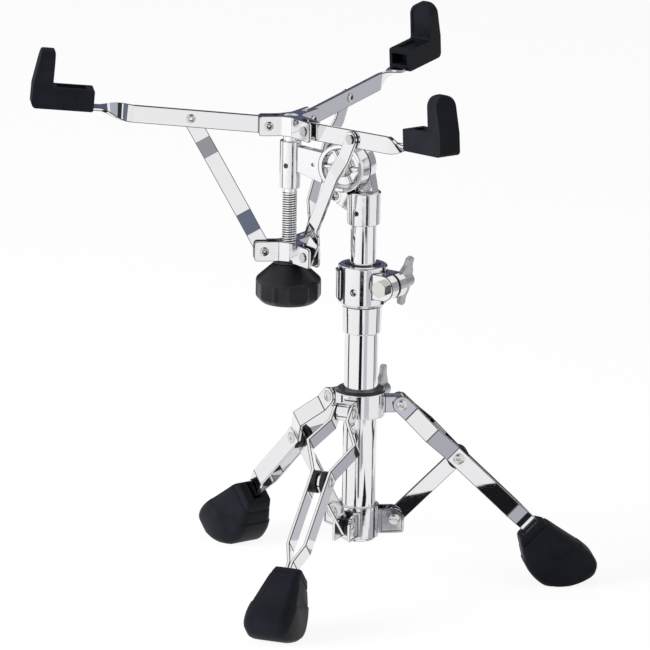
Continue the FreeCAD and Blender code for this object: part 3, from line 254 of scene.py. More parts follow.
cards = [
    wedge_card("card_foot_line", 0.3, (-9, 2), 0.58, (-12, 3), 0.13),
    wedge_card("card_tube_line", 0.58, (-17, 3), 1.28, (-12, 6)),
    level_card("card_sleeve_line", [(0.262, -1.212), (0.60, -1.065), (0.80, -1.38), (0.357, -1.57)],
               height=card_lift),
    # The leg, ear, rivet and back patches: painted shadow of the stand on the floor, seen only in reflections.
    level_card("painted_shadow_leg_patch", [(0.085, -0.20), (0.24, -0.18), (0.24, -0.315), (0.09, -0.25)]),
    level_card("painted_shadow_ear_patch", [(0.04, -0.26), (0.09, -0.26), (0.084, -0.17), (0.04, -0.17)], 0.3),
    level_card("card_jog_patch", [(0.04, -0.50), (0.18, -0.50), (0.17, -0.38), (0.05, -0.38)], 0.36),
    level_card("painted_shadow_rivet_patch", level_box(0.10, 0.26, -0.10, 0.04), 0.48),
    wedge_card("card_grey_right", 0.55, (17, 40), 2.6, (17, 40), 0.62),
    wedge_card("card_grey_back", 0.7, (100, 128), 2.6, (100, 128), 0.52),
    wall_card("card_grey_side", (100, 133), 2.7, 0.0, 1.4, 0.36),
    level_card("painted_shadow_back_patch", level_box(0.12, 0.32, 0.06, 0.24), 0.6),
    wedge_card("card_left", 0.25, (-100, -89), 2.4, (-100, -89), 0.03),
    wedge_card("card_right", 0.25, (94, 103), 2.4, (94, 103), 0.12),
    wall_card("card_left_rim", (-172, -134), 1.6, 0.0, 1.2, 0.05),
    wall_card("card_right_rim", (138, 172), 1.6, 0.0, 1.2, 0.05),
    wall_card("card_behind", (160, 200), 2.6, 0.7, 2.3, (0.10, 0.11, 0.18)),
    wall_card("card_over_camera", (-22, 25), 3.4, 1.25, 3.2, (0.16, 0.19, 0.25)),
    level_card("card_ceiling", level_box(-0.7, 2.0, -1.6, -0.35), 0.04, ceiling),
    level_card("card_ceiling_back", level_box(-0.1, 2.0, -0.35, 1.6), 0.5, ceiling),
]
print("studio with", len(cards), "cards")

# %% [markdown]
# The finishes are few. Bright plating covers the tubes, strips and castings, and differs only in how flat
# the metal under it is: drawn tube and rolled strip are almost mirrors, and a casting is slightly wavy. A
# picture of chrome could be wrapped round the pieces, but it would not change as they turn. So each finish
# is one shader, with a noise for its roughness and a bump for its surface, and the studio does the rest.


# %% Parts of a finish
def surface(name, colour, metallic, roughness):
    material, made, links = empty_material(name)
    inputs = {"Base Color": (*colour, 1), "Metallic": metallic, "Roughness": roughness}
    shader = shader_node(made, "ShaderNodeBsdfPrincipled", inputs)
    links.new(shader.outputs["BSDF"], made.new("ShaderNodeOutputMaterial").inputs["Surface"])
    place = made.new("ShaderNodeTexCoord")
    return material, made, links, shader, place.outputs["Object"]


def noise(made, links, place, scale, detail):
    texture = shader_node(made, "ShaderNodeTexNoise", {"Scale": scale, "Detail": detail})
    links.new(place, texture.inputs["Vector"])
    return texture.outputs["Fac"]


def spread(made, links, value, low, high):
    """Noise stretched to a range; nearly all of it lies between 0.3 and 0.7."""
    inputs = {"From Min": 0.3, "From Max": 0.7, "To Min": low, "To Max": high}
    ranged = shader_node(made, "ShaderNodeMapRange", inputs)
    links.new(value, ranged.inputs["Value"])
    return ranged.outputs["Result"]


def bump(made, links, shader, value, strength, distance):
    node = shader_node(made, "ShaderNodeBump", {"Strength": strength, "Distance": distance})
    links.new(value, node.inputs["Height"])
    links.new(node.outputs["Normal"], shader.inputs["Normal"])


def tint(made, links, shader, value, dark, light):
    ramp = made.new("ShaderNodeValToRGB")
    for stop, position, colour in zip(ramp.color_ramp.elements, (0.35, 0.65), (dark, light)):
        stop.position = position
        stop.color = (*colour, 1)
    links.new(value, ramp.inputs["Fac"])
    links.new(ramp.outputs["Color"], shader.inputs["Base Color"])


def plating(name, colour, low, high, wave, wave_scale, haze_scale=160.0):
    """Polished metal between two roughnesses, with waves of a depth and scale under it."""
    material, made, links, shader, place = surface(name, colour, 1.0, low)
    haze = noise(made, links, place, haze_scale, 4.0)
    links.new(spread(made, links, haze, low, high), shader.inputs["Roughness"])
    swell = noise(made, links, place, wave_scale, 2.0)
    bump(made, links, shader, swell, 1.0, wave)
    return material


def rubber(name, dark, light, roughness, grain, depth, gloss, cloud_scale=45.0, uneven=0.07):
    """Moulded rubber or plastic, clouded between two tones, with a fine grain of a depth."""
    material, made, links, shader, place = surface(name, light, 0.0, roughness)
    shader.inputs["Specular IOR Level"].default_value = gloss
    cloud = noise(made, links, place, cloud_scale, 5.0)
    tint(made, links, shader, cloud, dark, light)
    links.new(spread(made, links, cloud, roughness - uneven, roughness + uneven), shader.inputs["Roughness"])
    fine = noise(made, links, place, grain, 3.0)
    bump(made, links, shader, fine, 0.5, depth)
    return material


print("two kinds of finish: plating and rubber")

# %% [markdown]
# The wing nuts are satin castings, the bolts and rivets are bright zinc, the basket's screws are darker,
# as painted shade for their sockets, and its rod is lighter. The corners of the metal get a dark finish
# of their own, painted shade that stands for the dark reflection along a bevel and draws thin outlines.
# Black rubber is never quite black: it is a very dark blue grey with a little gloss.

# %% Finishes
platings = {
    "tube_chrome": ((0.82, 0.82, 0.83), 0.03, 0.06, 0.00002, 30.0),
    "strip_chrome": ((0.80, 0.80, 0.81), 0.015, 0.035, 0.00006, 26.0),
    "cast_chrome": ((0.79, 0.79, 0.80), 0.06, 0.12, 0.00012, 60.0),
    "bright_steel": ((0.66, 0.65, 0.63), 0.10, 0.18, 0.00002, 200.0),
    "wing_cast": ((0.47, 0.47, 0.49), 0.30, 0.42, 0.00010, 500.0),
    # painted shade: a dark finish for bevels, thread roots and roll pins, standing in for dark reflection and
    # shade
    "edge_line": ((0.12, 0.12, 0.13), 0.28, 0.42, 0.00002, 200.0),
    # painted shade: the basket's screws are darker to stand in for shade in their sockets
    "screw_steel": ((0.60, 0.59, 0.57), 0.12, 0.2, 0.00002, 200.0),
    "rod_steel": ((0.92, 0.92, 0.93), 0.16, 0.24, 0.00002, 200.0)}
rubbers = {
    "rubber": ((0.0028, 0.0033, 0.0052), (0.0055, 0.0066, 0.0098), 0.50, 1400.0, 0.00006, 0.12),
    "bumper_rubber": ((0.003, 0.003, 0.004), (0.006, 0.006, 0.007), 0.45, 900.0, 0.00004, 0.36),
    "knob_plastic": ((0.004, 0.004, 0.006), (0.008, 0.008, 0.011), 0.34, 1200.0, 0.00003, 0.24),
    "nylon": ((0.004, 0.004, 0.005), (0.008, 0.008, 0.009), 0.42, 1000.0, 0.00003, 0.4)}
finishes = {name: plating(name, *row) for name, row in platings.items()}
finishes.update({name: rubber(name, *row) for name, row in rubbers.items()})
print("finishes:", ", ".join(finishes))

# %% [markdown]
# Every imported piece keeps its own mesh, and modifiers make it read as a real part. Its faces come unjoined
# and cut in triangles: a weld joins them, and a dissolve makes each flat one whole again, so that a bevel
# runs cleanly along its corners and catches the light as a deburred edge does. Faces are split at true
# corners and bends, and weighted normals let large faces keep their own direction, so flat metal
# reflects like a flat mirror. The wing castings have no sharp corner at all, which a bevel can't give on
# such free forms, so they are remade in small cubes and smoothed.

# %% Edges and castings
weld_reach = 0.002 * mm
flat_within = 0.3
corner_angle, bend_angle = 40, 22
area_weight = 90


def smooth_faces(mesh):
    mesh.polygons.foreach_set("use_smooth", [True] * len(mesh.polygons))


def join_faces(piece):
    piece.modifiers.new("joined_faces", "WELD").merge_threshold = weld_reach


def soften_edges(piece, width, angle=corner_angle, bends=bend_angle, segments=2, painted_edge=False, clamped=True):
    """Bevel on every corner over an angle, crisp bends and flat faces; a lined bevel is dark, a painted dark
    reflection.
    """
    smooth_faces(piece.data)
    join_faces(piece)
    whole = piece.modifiers.new("whole_faces", "DECIMATE")
    whole.decimate_type = "DISSOLVE"
    whole.angle_limit = math.radians(flat_within)
    edge = piece.modifiers.new("deburred_edge", "BEVEL")
    edge.width = width
    edge.segments = segments
    edge.limit_method = "ANGLE"
    edge.angle_limit = math.radians(angle)
    edge.use_clamp_overlap = clamped
    if painted_edge:
        piece.data.materials.append(finishes["edge_line"])
        edge.material = len(piece.data.materials) - 1
    crisp = piece.modifiers.new("crisp_bends", "EDGE_SPLIT")
    crisp.split_angle = math.radians(bends)
    flat = piece.modifiers.new("flat_faces", "WEIGHTED_NORMAL")
    flat.mode = "FACE_AREA"
    flat.weight = area_weight


def round_casting(piece, grain=0.45 * mm, rounds=12):
    """Soft cast corners: the piece is remade in small cubes, and the cubes are smoothed away."""
    join_faces(piece)
    cubes = piece.modifiers.new("cast_grain", "REMESH")
    cubes.mode = "VOXEL"
    cubes.voxel_size = grain
    cubes.use_smooth_shade = True
    soft = piece.modifiers.new("cast_round", "SMOOTH")
    soft.factor = 0.5
    soft.iterations = rounds


print("flat within", flat_within, "degrees; welds within", weld_reach / mm, "mm")

# %% [markdown]
# Now each piece gets the finish of its slot and an edge of a width that suits how it is made: rolled strip
# is rounder than turned steel. A few castings and bolts have small details that a wide bevel would run
# over, so theirs is narrower. The two roll pins get the dark finish, painted shade for their hollow ends,
# and the basket's screws a darker one, painted shade for their sockets. The legs are bent gently, so a
# smaller angle counts as a corner there, and folded strips and hubs are crisp at smaller bends.

# %% Dress the imported pieces
edge_widths = {"tube_chrome": 0.4, "strip_chrome": 0.6, "cast_chrome": 0.6, "bright_steel": 0.3,
               "rubber": 0.5, "bumper_rubber": 0.4, "knob_plastic": 0.4, "nylon": 0.2}
own_widths = {"tilt_bolt": 0.2, "height_clamp_bolt": 0.2, "bottom_bracket": 0.3, "basket_holder": 0.3,
              "tilter_post": 0.3}
# The roll pins get the dark finish, painted shade for their hollow ends.
own_finishes = {"post_roll_pin": "edge_line", "holder_roll_pin": "edge_line"}
leg_corner_angle, fold_angle = 12, 10
screw_edge = 0.6
# The basket's screws get a darker finish, painted shade for their sockets.
for name in ("upper_hub_screws", "lower_hub_screws", "strut_screw_left", "strut_screw_front",
             "strut_screw_back", "tilter_lug_screw"):
    own_widths[name] = screw_edge
    own_finishes[name] = "screw_steel"
slot_of = {row["node"]: row["material_slot"] for row in frame["record"]["subparts"]}
for name, piece in nodes.items():
    slot = slot_of[name]
    piece.data.materials.clear()
    piece.data.materials.append(finishes[own_finishes.get(name, slot)])
    if slot == "wing_cast":
        round_casting(piece)
        continue
    width = own_widths.get(name, edge_widths[slot]) * mm
    # plated pieces get painted shade on their bevels, a painted dark reflection
    painted_edge = slot in platings
    folded = slot == "strip_chrome" or name.endswith("_hub")
    soften_edges(piece, width, angle=leg_corner_angle if name.startswith("leg_") else corner_angle,
                 bends=fold_angle if folded else bend_angle, painted_edge=painted_edge,
                 clamped=not painted_edge or name.endswith("_bolt"))
print("dressed", len(nodes), "pieces")

# %% [markdown]
# The moulded pieces that follow are skins stretched over rows of rings, the way a boat hull is lofted. A
# solid modeller's loft could make them too, but as meshes they can swell and step softly, and a ring is
# easy to change. These helpers draw a rounded ring, ease between the rows of a table, stretch the skin,
# and hand the finished mesh to the body that it rides on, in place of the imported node.


# %% Helpers for moulded shapes
def rounded_box(half_width, low, high, radius, steps=6):
    """Points round a rectangle with rounded corners, across and up."""
    points = []
    centres = [(half_width - radius, low + radius, -90), (half_width - radius, high - radius, 0),
               (radius - half_width, high - radius, 90), (radius - half_width, low + radius, 180)]
    for across, up, first in centres:
        for step in range(steps + 1):
            turn = math.radians(first + 90 * step / steps)
            points.append((across + radius * math.cos(turn), up + radius * math.sin(turn)))
    return points


def smooth_between(table, where):
    """Value of a table of (place, value) rows at a place, along a smooth curve."""
    places = [row[0] for row in table]
    index = max(i for i in range(len(places) - 1) if places[i] <= where or i == 0)
    before, after = table[max(index - 1, 0)], table[min(index + 2, len(table) - 1)]
    start, end = table[index], table[index + 1]
    share = (where - start[0]) / (end[0] - start[0])
    slope_start = (end[1] - before[1]) / (end[0] - before[0]) * (end[0] - start[0])
    slope_end = (after[1] - start[1]) / (after[0] - start[0]) * (end[0] - start[0])
    square, cube = share ** 2, share ** 3
    return ((2 * cube - 3 * square + 1) * start[1] + (cube - 2 * square + share) * slope_start
            + (3 * square - 2 * cube) * end[1] + (cube - square) * slope_end)


def skin(rings):
    """Mesh stretched over rings of equal counts, closed at both ends."""
    build = bmesh.new()
    rows = [[build.verts.new(point) for point in ring] for ring in rings]
    for first, second in zip(rows, rows[1:]):
        count = len(first)
        for i in range(count):
            build.faces.new((first[i], first[(i + 1) % count], second[(i + 1) % count], second[i]))
    build.faces.new(list(reversed(rows[0])))
    build.faces.new(rows[-1])
    bmesh.ops.recalc_face_normals(build, faces=build.faces)
    return build


def to_mesh(build, name):
    mesh = bpy.data.meshes.new(name)
    build.to_mesh(mesh)
    build.free()
    return mesh


def everything(build):
    return build.verts[:] + build.edges[:] + build.faces[:]


def smooth_but_corners(mesh, angle):
    smooth_faces(mesh)
    mesh.set_sharp_from_angle(angle=math.radians(angle))


def new_piece(name, mesh, body, slot, *replaced):
    piece = bpy.data.objects.new(name, mesh)
    scene.collection.objects.link(piece)
    piece.data.materials.append(finishes[slot])
    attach(piece, body)
    if replaced:
        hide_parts(*replaced)
    return piece


print("a rounded ring has", len(rounded_box(2, -1, 1, 0.5)), "points")

# %% [markdown]
# The boots are thick rubber mouldings pushed over the ends of the legs. Each is a loft along its leg with
# crowned sides and a groove under the mouth, in millimetres from the leg's upper hinge. A loft keeps the
# sides smooth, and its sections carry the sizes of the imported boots. The mouth is three more rings that
# turn inward, so the rubber has a thickness where the leg goes in.

# %% Shape of a boot
boot_start, boot_end = 157.0, 223.5
# Along the leg, bottom, top, width and corner radius
boot_rows = [
    (boot_start, -13.9, 7.7, 24.0, 3.0), (165.0, -19.5, 12.0, 27.0, 5.0), (177.0, -26.3, 14.2, 32.5, 7.0),
    (190.0, -28.8, 16.4, 37.5, 8.5), (202.0, -26.8, 18.3, 41.0, 9.0), (212.0, -18.7, 18.4, 40.5, 8.5),
    (219.0, -8.5, 16.0, 37.0, 7.0), (boot_end, 1.0, 10.5, 29.0, 4.0)]
# Along the leg, half width, bottom, top and corner radius
mouth_rows = [(163.5, 3.4, -7.9, 6.9, 0.8), (157.6, 4.0, -8.6, 7.0, 0.8), (boot_start, 4.8, -9.4, 7.2, 1.2)]
groove_at, groove_depth, groove_width = 163.9, 0.9, 0.7
end_insets = {boot_start: 0.7, boot_end: 0.6}
sharpest_corner = 0.8
close_stations = [boot_start, 157.5, 159.0, 161.0, 162.8, 163.4, groove_at, 164.4, 165.0, 167.0]
even_stations = [168.5 + 2.5 * k for k in range(22)]


def boot_ring(station):
    groove = groove_depth * math.exp(-((station - groove_at) / groove_width) ** 2)
    inset = end_insets.get(station, groove)
    low, high, width, radius = [smooth_between([(row[0], row[k]) for row in boot_rows], station)
                                for k in (1, 2, 3, 4)]
    section = rounded_box(width / 2 - inset, low + inset, high - inset, max(radius - inset, sharpest_corner))
    return [(station, across, up) for across, up in section]


def boot_skin():
    rings = [[(station, across, up) for across, up in rounded_box(*row)] for station, *row in mouth_rows]
    rings += [boot_ring(station) for station in close_stations + even_stations + [boot_end]]
    return skin(rings)


print("boot of", len(close_stations) + len(even_stations) + 1, "rings")

# %% [markdown]
# The leg's place comes from its hinges: the boot is drawn along the leg, swung to the leg's slope and turned
# to its bearing. The sole is a block that stands a little proud of the boot. Two cuts close together mark
# its upper edge, all below them is pushed out, and what would go under the floor is pressed flat on it.

# %% Rubber boots
collar_pivot = Vector(joints["collar_on_front_leg"]["pos_m"])
brace_top = Vector(joints["front_leg_fold"]["pos_m"])
leg_run = brace_top - collar_pivot
leg_slope = math.atan2(Vector(leg_run.xy).length, -leg_run.z)
pivot_reach = Vector(collar_pivot.xy).length
leg_swing = Matrix.Rotation(math.pi / 2 - leg_slope, 4, "Y")
leg_place = Matrix.Translation((pivot_reach, 0, collar_pivot.z)) @ leg_swing
sole_point = Vector((141.7, 0, 19.9)) * mm
sole_up = Vector((-14.7, 0, 50.4)).normalized()
sole_step, sole_proud, sole_slack = 0.6 * mm, 0.8 * mm, 0.1 * mm


def raise_sole(build):
    for lift in (0.0, sole_step):
        point = sole_point + sole_up * lift
        bmesh.ops.bisect_plane(build, geom=everything(build), plane_co=point, plane_no=sole_up)
    build.normal_update()
    moves = {vertex: Vector((vertex.normal.x, vertex.normal.y, 0)) * sole_proud for vertex in build.verts
             if (vertex.co - sole_point).dot(sole_up) < sole_slack}
    for vertex, move in moves.items():
        vertex.co += move
    for vertex in build.verts:
        vertex.co.z = max(vertex.co.z, 0.0)


def make_boot(side, hinge):
    build = boot_skin()
    build.transform(leg_place @ Matrix.Scale(mm, 4))
    raise_sole(build)
    pivot = Vector(joints[hinge]["pos_m"])
    build.transform(Matrix.Rotation(math.atan2(pivot.y, pivot.x), 4, "Z"))
    boot = new_piece("boot_" + side, to_mesh(build, "boot_" + side), "leg_" + side, "rubber", "foot_" + side)
    smooth_but_corners(boot.data, 50)
    return boot


leg_hinges = {"right": "right_leg_fold", "left": "left_leg_fold", "front": "collar_on_front_leg"}
boots = [make_boot(side, hinge) for side, hinge in leg_hinges.items()]
print("boots:", [len(boot.data.vertices) for boot in boots], "points each")

# %% [markdown]
# The basket's pads are L-shaped rubber sleeves slipped on the flat ends of the arms: a shelf that the rim
# stands on and an upright lip with a round top. The lip is the part shared by two simple prisms, one seen
# from the side and one from the front, so a boolean intersection gives the form that is hard to draw
# directly. These helpers make a prism from an outline, round an outline's corners, and cut with a prism.


# %% Prisms and cuts
def prism(points, low, high, to_space):
    """Mesh of an outline made thick; to_space turns outline and depth into x, y, z."""
    build = bmesh.new()
    front = [build.verts.new(to_space(a, b, low)) for a, b in points]
    back = [build.verts.new(to_space(a, b, high)) for a, b in points]
    count = len(points)
    build.faces.new(front)
    build.faces.new(list(reversed(back)))
    for i in range(count):
        build.faces.new((front[i], back[i], back[(i + 1) % count], front[(i + 1) % count]))
    bmesh.ops.recalc_face_normals(build, faces=build.faces)
    return to_mesh(build, "prism")


def side_view(across, up, depth):
    return Vector((across, depth, up)) * mm


def front_view(across, up, depth):
    return Vector((depth, across, up)) * mm


def rounded_path(corners, steps=5):
    """Outline with its corners rounded: each corner is across, up and radius."""
    points = []
    for i, (across, up, radius) in enumerate(corners):
        here = Vector((across, up))
        if radius == 0:
            points.append((across, up))
            continue
        back = (Vector(corners[i - 1][:2]) - here).normalized()
        ahead = (Vector(corners[(i + 1) % len(corners)][:2]) - here).normalized()
        half = back.angle(ahead) / 2
        centre = here + (back + ahead).normalized() * (radius / math.sin(half))
        start = here + back * (radius / math.tan(half)) - centre
        end = here + ahead * (radius / math.tan(half)) - centre
        sweep = start.angle_signed(end)
        for step in range(steps + 1):
            turned = start.copy()
            turned.rotate(Matrix.Rotation(-sweep * step / steps, 2))
            points.append(tuple(centre + turned))
    return points


def arch(half_width, low, high, steps=20):
    """Outline with a straight foot and a round top."""
    points = [(-half_width, low), (half_width, low)]
    for step in range(steps + 1):
        turn = math.pi * step / steps
        points.append((half_width * math.cos(turn), high - half_width + half_width * math.sin(turn)))
    return points


def carve(piece, mesh, operation):
    tool = bpy.data.objects.new("tool", mesh)
    scene.collection.objects.link(tool)
    cut = piece.modifiers.new("cut", "BOOLEAN")
    cut.operation = operation
    cut.solver = "EXACT"
    cut.object = tool
    bpy.context.view_layer.update()
    graph = bpy.context.evaluated_depsgraph_get()
    result = bpy.data.meshes.new_from_object(piece.evaluated_get(graph))
    piece.modifiers.clear()
    piece.data = result
    bpy.data.objects.remove(tool)


def arm_space(side):
    """Place of an arm's hinge, with x outward along the arm and z up."""
    hinge = joints[side + "_arm_lift"]
    tangent, up = -Vector(hinge["axis"]), Vector((0, 0, 1))
    basis = Matrix((tangent.cross(up), tangent, up)).transposed().to_4x4()
    return Matrix.Translation(hinge["pos_m"]) @ basis


print("an arch has", len(arch(2, 0, 5)), "points")

# %% [markdown]
# A pad is drawn in millimetres from its arm's hinge, level, and then leaned to the arm. A trough in the
# shelf, a shallow panel in the lip, the open mouth and the slot that the strip sits in are cut away, and
# a bevel rounds all the moulded corners.

# %% Basket pads
pad_inner, pad_outer, pad_half = 147.5, 199.5, 10.0
pad_bottom, shelf_top, lip_top = 13.5, 32.1, 63.7
lip_inner, lip_outer = 182.7, 194.1
arch_foot, arch_near, arch_far = 10.0, 120.0, 220.0
pad_outline = rounded_path([
    (pad_inner, pad_bottom, 2.0), (pad_outer, pad_bottom, 4.0), (pad_outer, shelf_top, 8.0),
    (lip_outer, lip_top, 3.0), (lip_inner, lip_top, 3.0), (lip_inner, shelf_top, 2.0),
    (pad_inner, shelf_top, 1.5)])
trough = rounded_path([(-5.5, 30.1, 1.2), (5.5, 30.1, 1.2), (5.5, 40.0, 0), (-5.5, 40.0, 0)])
lip_panel = arch(7.6, 36.0, 60.9)
mouth = [(-7.3, 18.9), (7.3, 18.9), (7.3, 28.4), (-7.3, 28.4)]
strip_slot = [(-7.6, 14.25), (7.6, 14.25), (7.6, 17.35), (-7.6, 17.35)]
# Outline, inner end and outer end of each cut
pad_cuts = [(trough, 154.5, 178.6), (lip_panel, 180.0, 183.4), (mouth, 140.0, 159.5),
            (strip_slot, 140.0, 189.2)]
twist_end, flat_rise, pad_lean = 141.0, 15.8, 4.6
lean_point = Vector((twist_end, 0, flat_rise)) * mm
pad_edge = 1.1 * mm


def make_pad(side):
    block = prism(pad_outline, -pad_half, pad_half, side_view)
    pad = new_piece("pad_" + side, block, "arm_" + side, "rubber", "basket_pad_" + side)
    carve(pad, prism(arch(pad_half, arch_foot, lip_top), arch_near, arch_far, front_view), "INTERSECT")
    for outline, inner, outer in pad_cuts:
        carve(pad, prism(outline, inner, outer, front_view), "DIFFERENCE")
    tilted = Matrix.Rotation(math.radians(-pad_lean), 4, "Y")
    lean = Matrix.Translation(lean_point) @ tilted @ Matrix.Translation(-lean_point)
    pad.data.transform(arm_space(side) @ lean)
    pad.data.materials.clear()
    pad.data.materials.append(finishes["rubber"])
    soften_edges(pad, pad_edge, angle=35, bends=45, segments=3)
    return pad


arm_sides = ("left", "front", "back")
pads = [make_pad(side) for side in arm_sides]
print("pads:", [len(pad.data.polygons) for pad in pads], "faces each")

# %% [markdown]
# Each basket arm is one steel strip on edge at the hub, twisted a quarter turn near its end so that it
# lies flat in the pad. A twist is a section swept along the arm while it turns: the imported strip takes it
# in a few steps, which is fine to grip and to weigh, and here it is swept in many, because polished
# metal shows every flat. The strip's rolled edges are part of the section, and its end at the hub is round.

# %% Twisted basket arms
strip_thick, strip_edge = 1.5, 0.7
strip_half = 7.5
twist_start, arm_tip = 112.5, 189.0
arm_rise = 5.3
start_rise = twist_start * math.tan(math.radians(arm_rise))
tip_rise = flat_rise + (arm_tip - twist_end) * math.tan(math.radians(pad_lean))
end_round, end_steps, end_half = 7.45, 12, 0.9
twist_steps = 40
edge_steps = 3


def strip_section(half):
    return rounded_box(strip_thick, -half, half, strip_edge, edge_steps)


def arm_ring(out, up, lean, twist):
    turn = Matrix.Rotation(math.radians(-lean), 4, "Y") @ Matrix.Rotation(math.radians(twist), 4, "X")
    place = Matrix.Translation((out, 0, up)) @ turn
    return [place @ Vector((0, across, high)) for across, high in strip_section(strip_half)]


def round_end_ring(share):
    """Ring of the round end at the hub; the share goes from its tip to the straight part."""
    turn = math.radians(90 - 90 * share)
    half = max(strip_half * math.cos(turn), end_half)
    reach = -end_round * math.sin(turn)
    place = Matrix.Rotation(math.radians(-arm_rise), 4, "Y")
    return [place @ Vector((reach, across, high)) for across, high in strip_section(half)]


def twist_ring(share):
    """Ring of the twist, which starts and ends a little more slowly than it turns between."""
    turned = 0.5 * share + 0.5 * share * share * (3 - 2 * share)
    return arm_ring(twist_start + (twist_end - twist_start) * share,
                    start_rise + (flat_rise - start_rise) * turned,
                    arm_rise + (pad_lean - arm_rise) * share, 90 * turned)


def make_arm(side):
    rings = [round_end_ring(k / end_steps) for k in range(end_steps + 1)]
    rings.append(arm_ring(twist_start / 2, start_rise / 2, arm_rise, 0))
    rings += [twist_ring(k / twist_steps) for k in range(twist_steps + 1)]
    rings.append(arm_ring(arm_tip, tip_rise, pad_lean, 90))
    build = skin(rings)
    build.transform(arm_space(side) @ Matrix.Scale(mm, 4))
    name = "arm_strip_" + side
    arm = new_piece(name, to_mesh(build, name), "arm_" + side, "strip_chrome", "basket_arm_" + side)
    # The strip's rounded edges get the dark finish, a painted dark reflection along them.
    arm.data.materials.append(finishes["edge_line"])
    corner_points = edge_steps + 1
    around_section = 4 * corner_points
    for face in arm.data.polygons:
        if len(face.vertices) == 4 and face.index % around_section % corner_points != edge_steps:
            face.material_index = 1
    smooth_but_corners(arm.data, 40)
    arm.modifiers.new("flat_faces", "WEIGHTED_NORMAL").keep_sharp = True
    return arm


arms = [make_arm(side) for side in arm_sides]
print("arms:", [len(arm.data.polygons) for arm in arms], "faces each")

# %% [markdown]
# The grip knob is one plastic moulding: a cone under the washer, a straight side with twelve finger flats
# between narrow ribs, a rounded foot, and a hexagonal pocket that traps its nut. Rings round the axis give
# the outside, because a ring can follow both the turned outline and the flats, and the flats fade out
# where the foot rounds in. The bore and the pocket are cut away by booleans.

# %% Grip knob
knob_low, knob_high = [Vector(corner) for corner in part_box("grip_knob")]
knob_axis = Vector(((knob_low.x + knob_high.x) / 2, (knob_low.y + knob_high.y) / 2, knob_high.z))
knob_place = Matrix.Translation(knob_axis) @ Matrix.Scale(mm, 4)
# Radius, drop from the top and share of the flats' depth
knob_rows = [
    (12.1, 0.0, 0), (12.9, 0.25, 0), (13.6, 0.9, 0), (26.0, 12.1, 0), (26.9, 13.1, 0), (27.35, 14.2, 0),
    (27.5, 15.4, 0), (27.5, 16.2, 0), (27.5, 16.6, 1), (27.5, 22.0, 1), (27.5, 27.0, 1), (27.3, 28.2, 0.8),
    (26.7, 29.3, 0.55), (25.7, 30.5, 0.3), (24.3, 31.9, 0.1), (23.2, 32.9, 0), (22.0, 33.7, 0)]
flat_count = 12
flat_step = 360 / flat_count
flat_turns = [-15.0, -12.5, -11.8, -6.0, 0.0, 6.0, 11.8, 12.5]
flat_half_turn = 12
flat_share = 0.9685
rib_bearing = -85.5
bore_radius, nut_radius, nut_roof = 6.5, 11.0, -14.7
cut_low, cut_high = -60, 10


def knob_ring(radius, drop, depth_share):
    points = []
    for k in range(flat_count):
        for turn in flat_turns:
            reach = radius
            if abs(turn) < flat_half_turn:
                reach *= 1 - depth_share * (1 - flat_share / math.cos(math.radians(turn)))
            place = math.radians(rib_bearing + flat_step * (k + 0.5) + turn)
            points.append(Vector((reach * math.cos(place), reach * math.sin(place), -drop)))
    return points


def circle(radius, height, count):
    turns = [2 * math.pi * k / count for k in range(count)]
    return [(radius * math.cos(turn), radius * math.sin(turn), height) for turn in turns]


def knob_hole(radius, low, high, sides):
    build = skin([circle(radius, height, sides) for height in (low, high)])
    build.transform(knob_place)
    return to_mesh(build, "tool")


def make_knob():
    build = skin([knob_ring(*row) for row in knob_rows])
    build.transform(knob_place)
    mesh = to_mesh(build, "knob_moulding")
    knob = new_piece("knob_moulding", mesh, "grip_knob", "knob_plastic", "grip_knob")
    carve(knob, knob_hole(bore_radius, cut_low, cut_high, 48), "DIFFERENCE")
    carve(knob, knob_hole(nut_radius, cut_low, nut_roof, 6), "DIFFERENCE")
    smooth_but_corners(knob.data, 32)
    return knob


knob = make_knob()
print("knob:", len(knob.data.polygons), "faces")
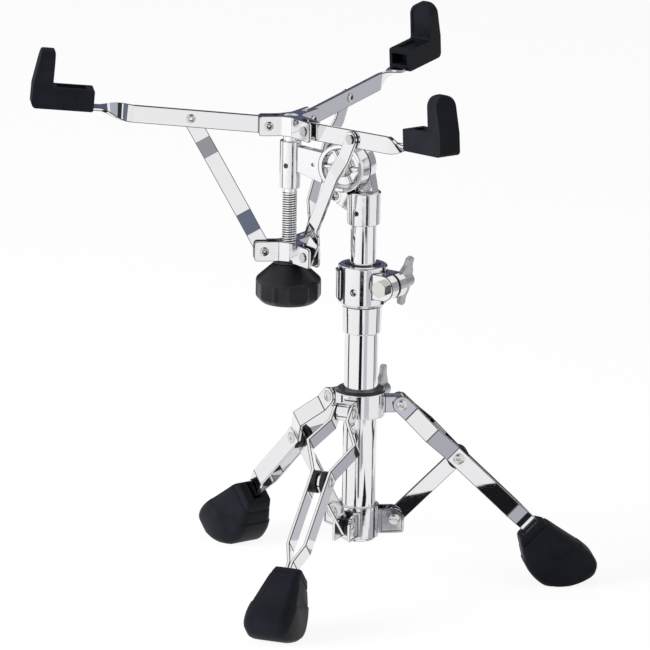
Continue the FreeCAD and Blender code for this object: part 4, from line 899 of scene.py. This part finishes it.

# %% [markdown]
# The rod under the basket is threaded. The imported rod has plain ridges at the right pitch, which is enough
# to weigh and to grip; a real thread climbs. The grid here climbs with it: each column of points is lifted
# by its share of the pitch, and the last column joins the first one a turn higher, so the crest is one
# unbroken line. Two cuts make the ends flat, and a plain rod carries on above. The root of the thread has
# the dark finish, painted shade for the groove, which in bright steel looks dark.

# %% Threaded rod
rod_low, rod_high = [Vector(corner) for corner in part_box("basket_rod")]
rod_axis = Vector(((rod_low.x + rod_high.x) / 2, (rod_low.y + rod_high.y) / 2, 0))
pitch, crest, root, plain = 2.0, 6.2, 5.3, 6.35
columns, steps_a_turn, shank_sides = 28, 8, 48
thread_below_tilt = 26.0
thread_from = rod_low.z / mm
thread_to = joints["basket_tilt"]["pos_m"][2] / mm - thread_below_tilt
rod_top, top_chamfer = rod_high.z / mm, 0.75
shank_sunk, shank_shoulder = 0.5, 0.4
groove_shares = [0.12, 0.0, 0.0, 0.0, 0.12, 0.7, 1.0, 0.7]
painted_shade_from_step = 5
rim_slack = 0.001


def thread_grid():
    build = bmesh.new()
    rows = int((thread_to - thread_from) / pitch + 4) * steps_a_turn
    grid = {}
    for row in range(rows):
        radius = crest - (crest - root) * groove_shares[row % steps_a_turn]
        for column in range(columns):
            turn = 2 * math.pi * column / columns
            height = thread_from + pitch * (row / steps_a_turn + column / columns - 2)
            grid[row, column] = build.verts.new((radius * math.cos(turn), radius * math.sin(turn), height))
    for row in range(rows - 1):
        for column in range(columns):
            after = (row, column + 1) if column + 1 < columns else (row + steps_a_turn, 0)
            above = (after[0] + 1, after[1])
            if above in grid:
                face = build.faces.new((grid[row, column], grid[after], grid[above], grid[row + 1, column]))
                # Rows into the root get the dark finish, painted shade in the groove.
                face.material_index = 1 if row % steps_a_turn >= painted_shade_from_step else 0
    return build


def flatten_ends(build):
    for height, side in ((thread_from, -1), (thread_to, 1)):
        bmesh.ops.bisect_plane(build, geom=everything(build), plane_co=(0, 0, height), plane_no=(0, 0, side),
                               clear_outer=True)
        rim = [edge for edge in build.edges if edge.is_boundary and
               all(abs(vertex.co.z - height) < rim_slack for vertex in edge.verts)]
        bmesh.ops.contextual_create(build, geom=rim)


def make_rod():
    build = thread_grid()
    flatten_ends(build)
    shank_rows = [(root, thread_to - shank_sunk), (plain, thread_to + shank_shoulder),
                  (plain, rod_top - top_chamfer), (plain - top_chamfer, rod_top)]
    build.from_mesh(to_mesh(skin([circle(*row, shank_sides) for row in shank_rows]), "shank"))
    bmesh.ops.recalc_face_normals(build, faces=build.faces)
    build.transform(Matrix.Translation(rod_axis) @ Matrix.Scale(mm, 4))
    mesh = to_mesh(build, "threaded_rod")
    rod = new_piece("threaded_rod", mesh, "basket_holder", slot_of["basket_rod"], "basket_rod")
    mesh.materials[0] = finishes["rod_steel"]
    mesh.materials.append(finishes["edge_line"])
    smooth_but_corners(mesh, 35)
    return rod


rod = make_rod()
print("rod:", len(rod.data.polygons), "faces,", round((thread_to - thread_from) / pitch, 1), "turns")
